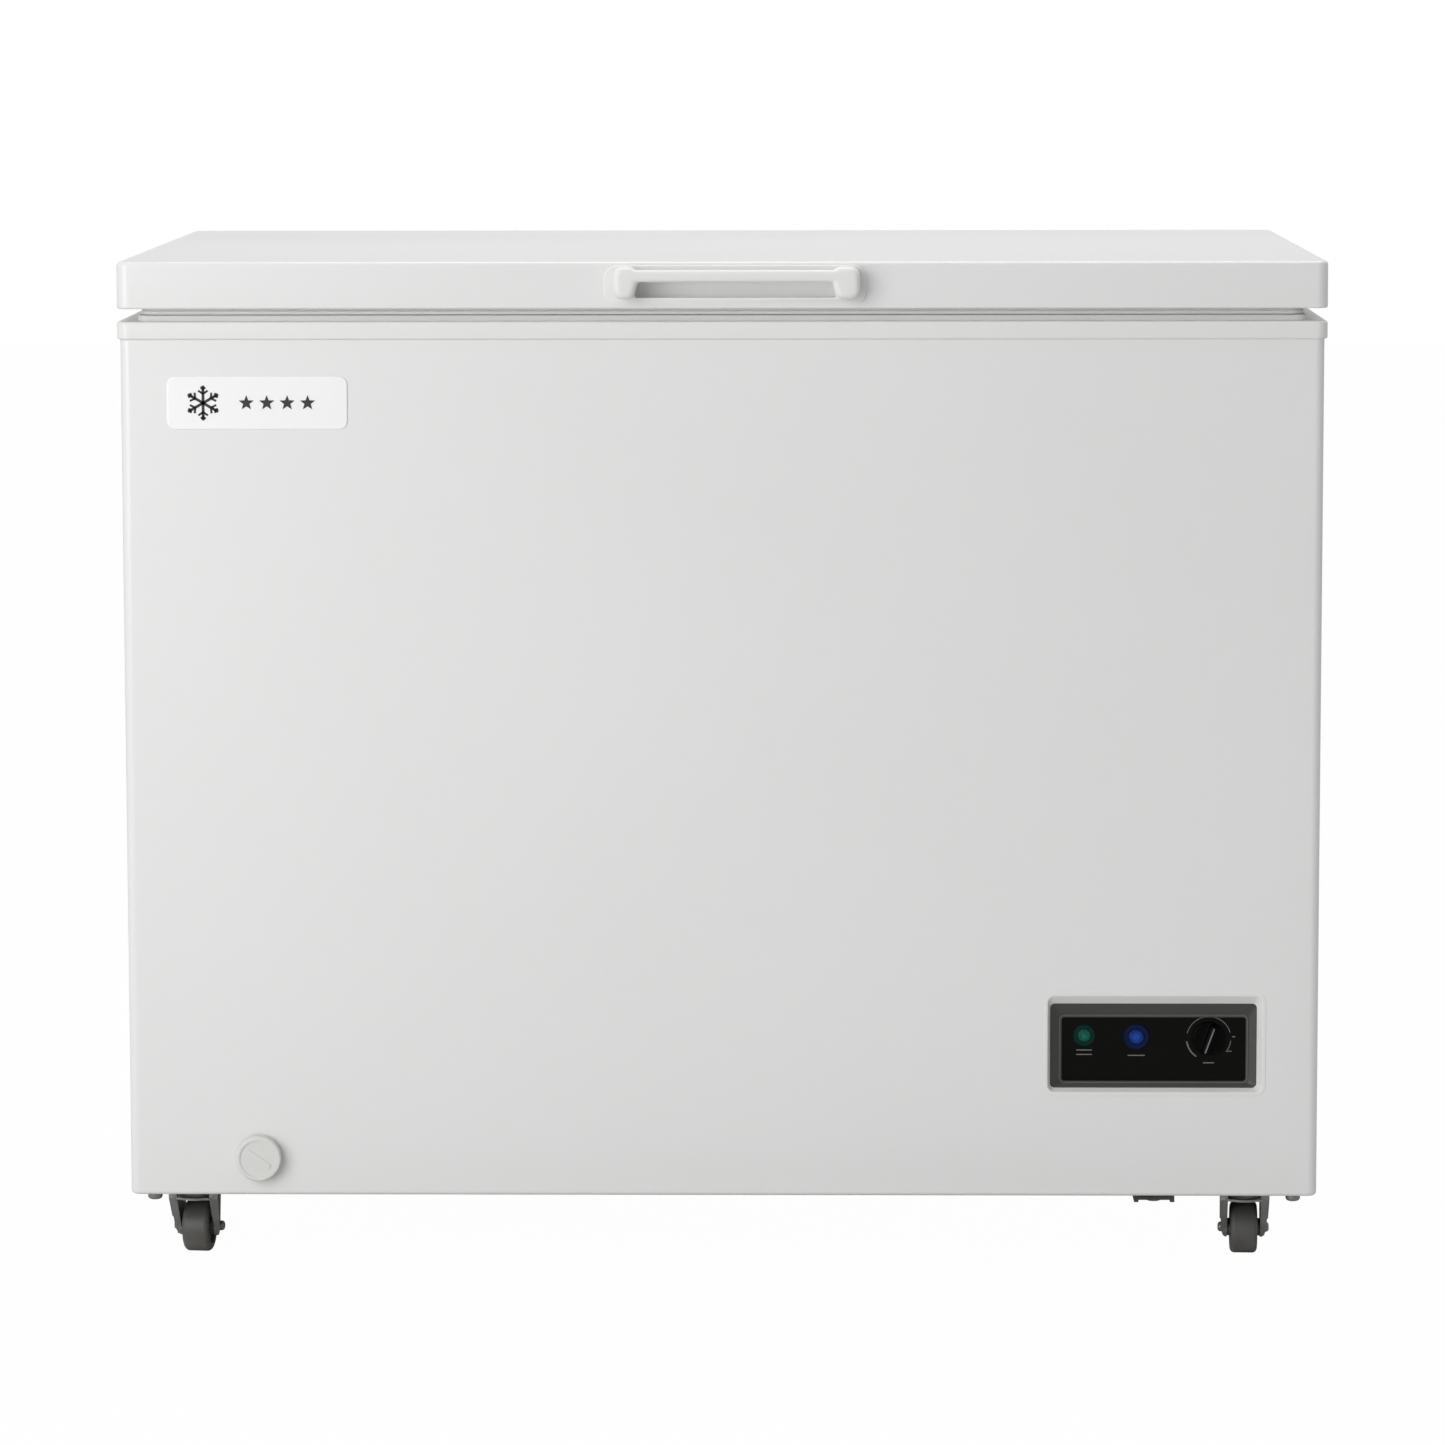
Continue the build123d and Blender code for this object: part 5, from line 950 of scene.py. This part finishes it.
def makeCamera():
    data = bpy.data.cameras.new("studioCamera")
    data.lens = studio["lens"]
    data.sensor_width = 36.0
    data.shift_y = studio["shiftUp"]
    data.clip_start, data.clip_end = 0.05, 100.0
    camera = bpy.data.objects.new("studioCamera", data)
    bpy.context.scene.collection.objects.link(camera)
    pitch, yaw, roll = studio["cameraPitch"], studio["cameraYaw"], studio["cameraRoll"]
    ahead = Vector((math.sin(yaw) * math.cos(pitch), math.cos(yaw) * math.cos(pitch), -math.sin(pitch)))
    right = Vector((math.cos(yaw), -math.sin(yaw), 0.0))
    up = right.cross(ahead)
    rolledRight = right * math.cos(roll) + up * math.sin(roll)
    rolledUp = up * math.cos(roll) - right * math.sin(roll)
    turn = Matrix((rolledRight, rolledUp, -ahead)).transposed().to_4x4()
    camera.matrix_world = Matrix.Translation(studio["cameraPlace"]) @ turn
    bpy.context.scene.camera = camera


def makeFloor():
    half = studio["floorSize"] / 2
    mesh = bpy.data.meshes.new("studioFloor")
    corners = [(-half, -half, 0), (half, -half, 0), (half, half, 0), (-half, half, 0)]
    mesh.from_pydata(corners, [], [(0, 1, 2, 3)])
    material = bpy.data.materials.new("paleFloor")
    material.use_nodes = True
    tree = material.node_tree
    shader = tree.nodes["Principled BSDF"]
    shader.inputs["Base Color"].default_value = (studio["floorBounce"],) * 3 + (1,)
    shader.inputs["Roughness"].default_value = 0.9
    shader.inputs["Specular IOR Level"].default_value = 0.1
    glow = tree.nodes.new("ShaderNodeEmission")
    path = tree.nodes.new("ShaderNodeLightPath")
    mix = tree.nodes.new("ShaderNodeMixShader")
    seen = mathNode(tree, "MULTIPLY", path.outputs["Is Camera Ray"], studio["floorWhite"])
    tree.links.new(seen, mix.inputs[0])
    tree.links.new(shader.outputs["BSDF"], mix.inputs[1])
    tree.links.new(glow.outputs["Emission"], mix.inputs[2])
    tree.links.new(mix.outputs["Shader"], tree.nodes["Material Output"].inputs["Surface"])
    mesh.materials.append(material)
    floor = bpy.data.objects.new("studioFloor", mesh)
    bpy.context.scene.collection.objects.link(floor)


def makeLight(name, place, target, size, power):
    data = bpy.data.lights.new(name, "AREA")
    data.shape = "SQUARE"
    data.size = size
    data.energy = power
    light = bpy.data.objects.new(name, data)
    light.location = place
    light.rotation_mode = "QUATERNION"
    light.rotation_quaternion = (Vector(target) - Vector(place)).to_track_quat("-Z", "Y")
    bpy.context.scene.collection.objects.link(light)


def makeWorld():
    # white to the camera; dimmer in front, so that gloss black stays dark
    world = bpy.data.worlds.new("studioWorld")
    bpy.context.scene.world = world
    world.use_nodes = True
    tree = world.node_tree
    soft = tree.nodes["Background"]
    soft.inputs["Color"].default_value = (1, 1, 1, 1)
    place = tree.nodes.new("ShaderNodeTexCoord")
    split = tree.nodes.new("ShaderNodeSeparateXYZ")
    tree.links.new(place.outputs["Generated"], split.inputs[0])
    tree.links.new(rangeNode(tree, split.outputs["Y"], -0.6, 0.3, studio["skyFront"], studio["skyBack"]),
                   soft.inputs["Strength"])
    seen = tree.nodes.new("ShaderNodeBackground")
    seen.inputs["Color"].default_value = (1, 1, 1, 1)
    path = tree.nodes.new("ShaderNodeLightPath")
    mix = tree.nodes.new("ShaderNodeMixShader")
    tree.links.new(path.outputs["Is Camera Ray"], mix.inputs["Fac"])
    tree.links.new(soft.outputs["Background"], mix.inputs[1])
    tree.links.new(seen.outputs["Background"], mix.inputs[2])
    tree.links.new(mix.outputs["Shader"], tree.nodes["World Output"].inputs["Surface"])


makeCamera()
makeFloor()
makeWorld()
makeLight("keyLeft", studio["keyPlace"], (-0.1, 0, 0.5), studio["keySize"], studio["keyPower"])
makeLight("topSoft", studio["topPlace"], (0, 0, 0.5), studio["topSize"], studio["topPower"])
bpy.context.scene.view_settings.view_transform = "Standard"
print("studio done")
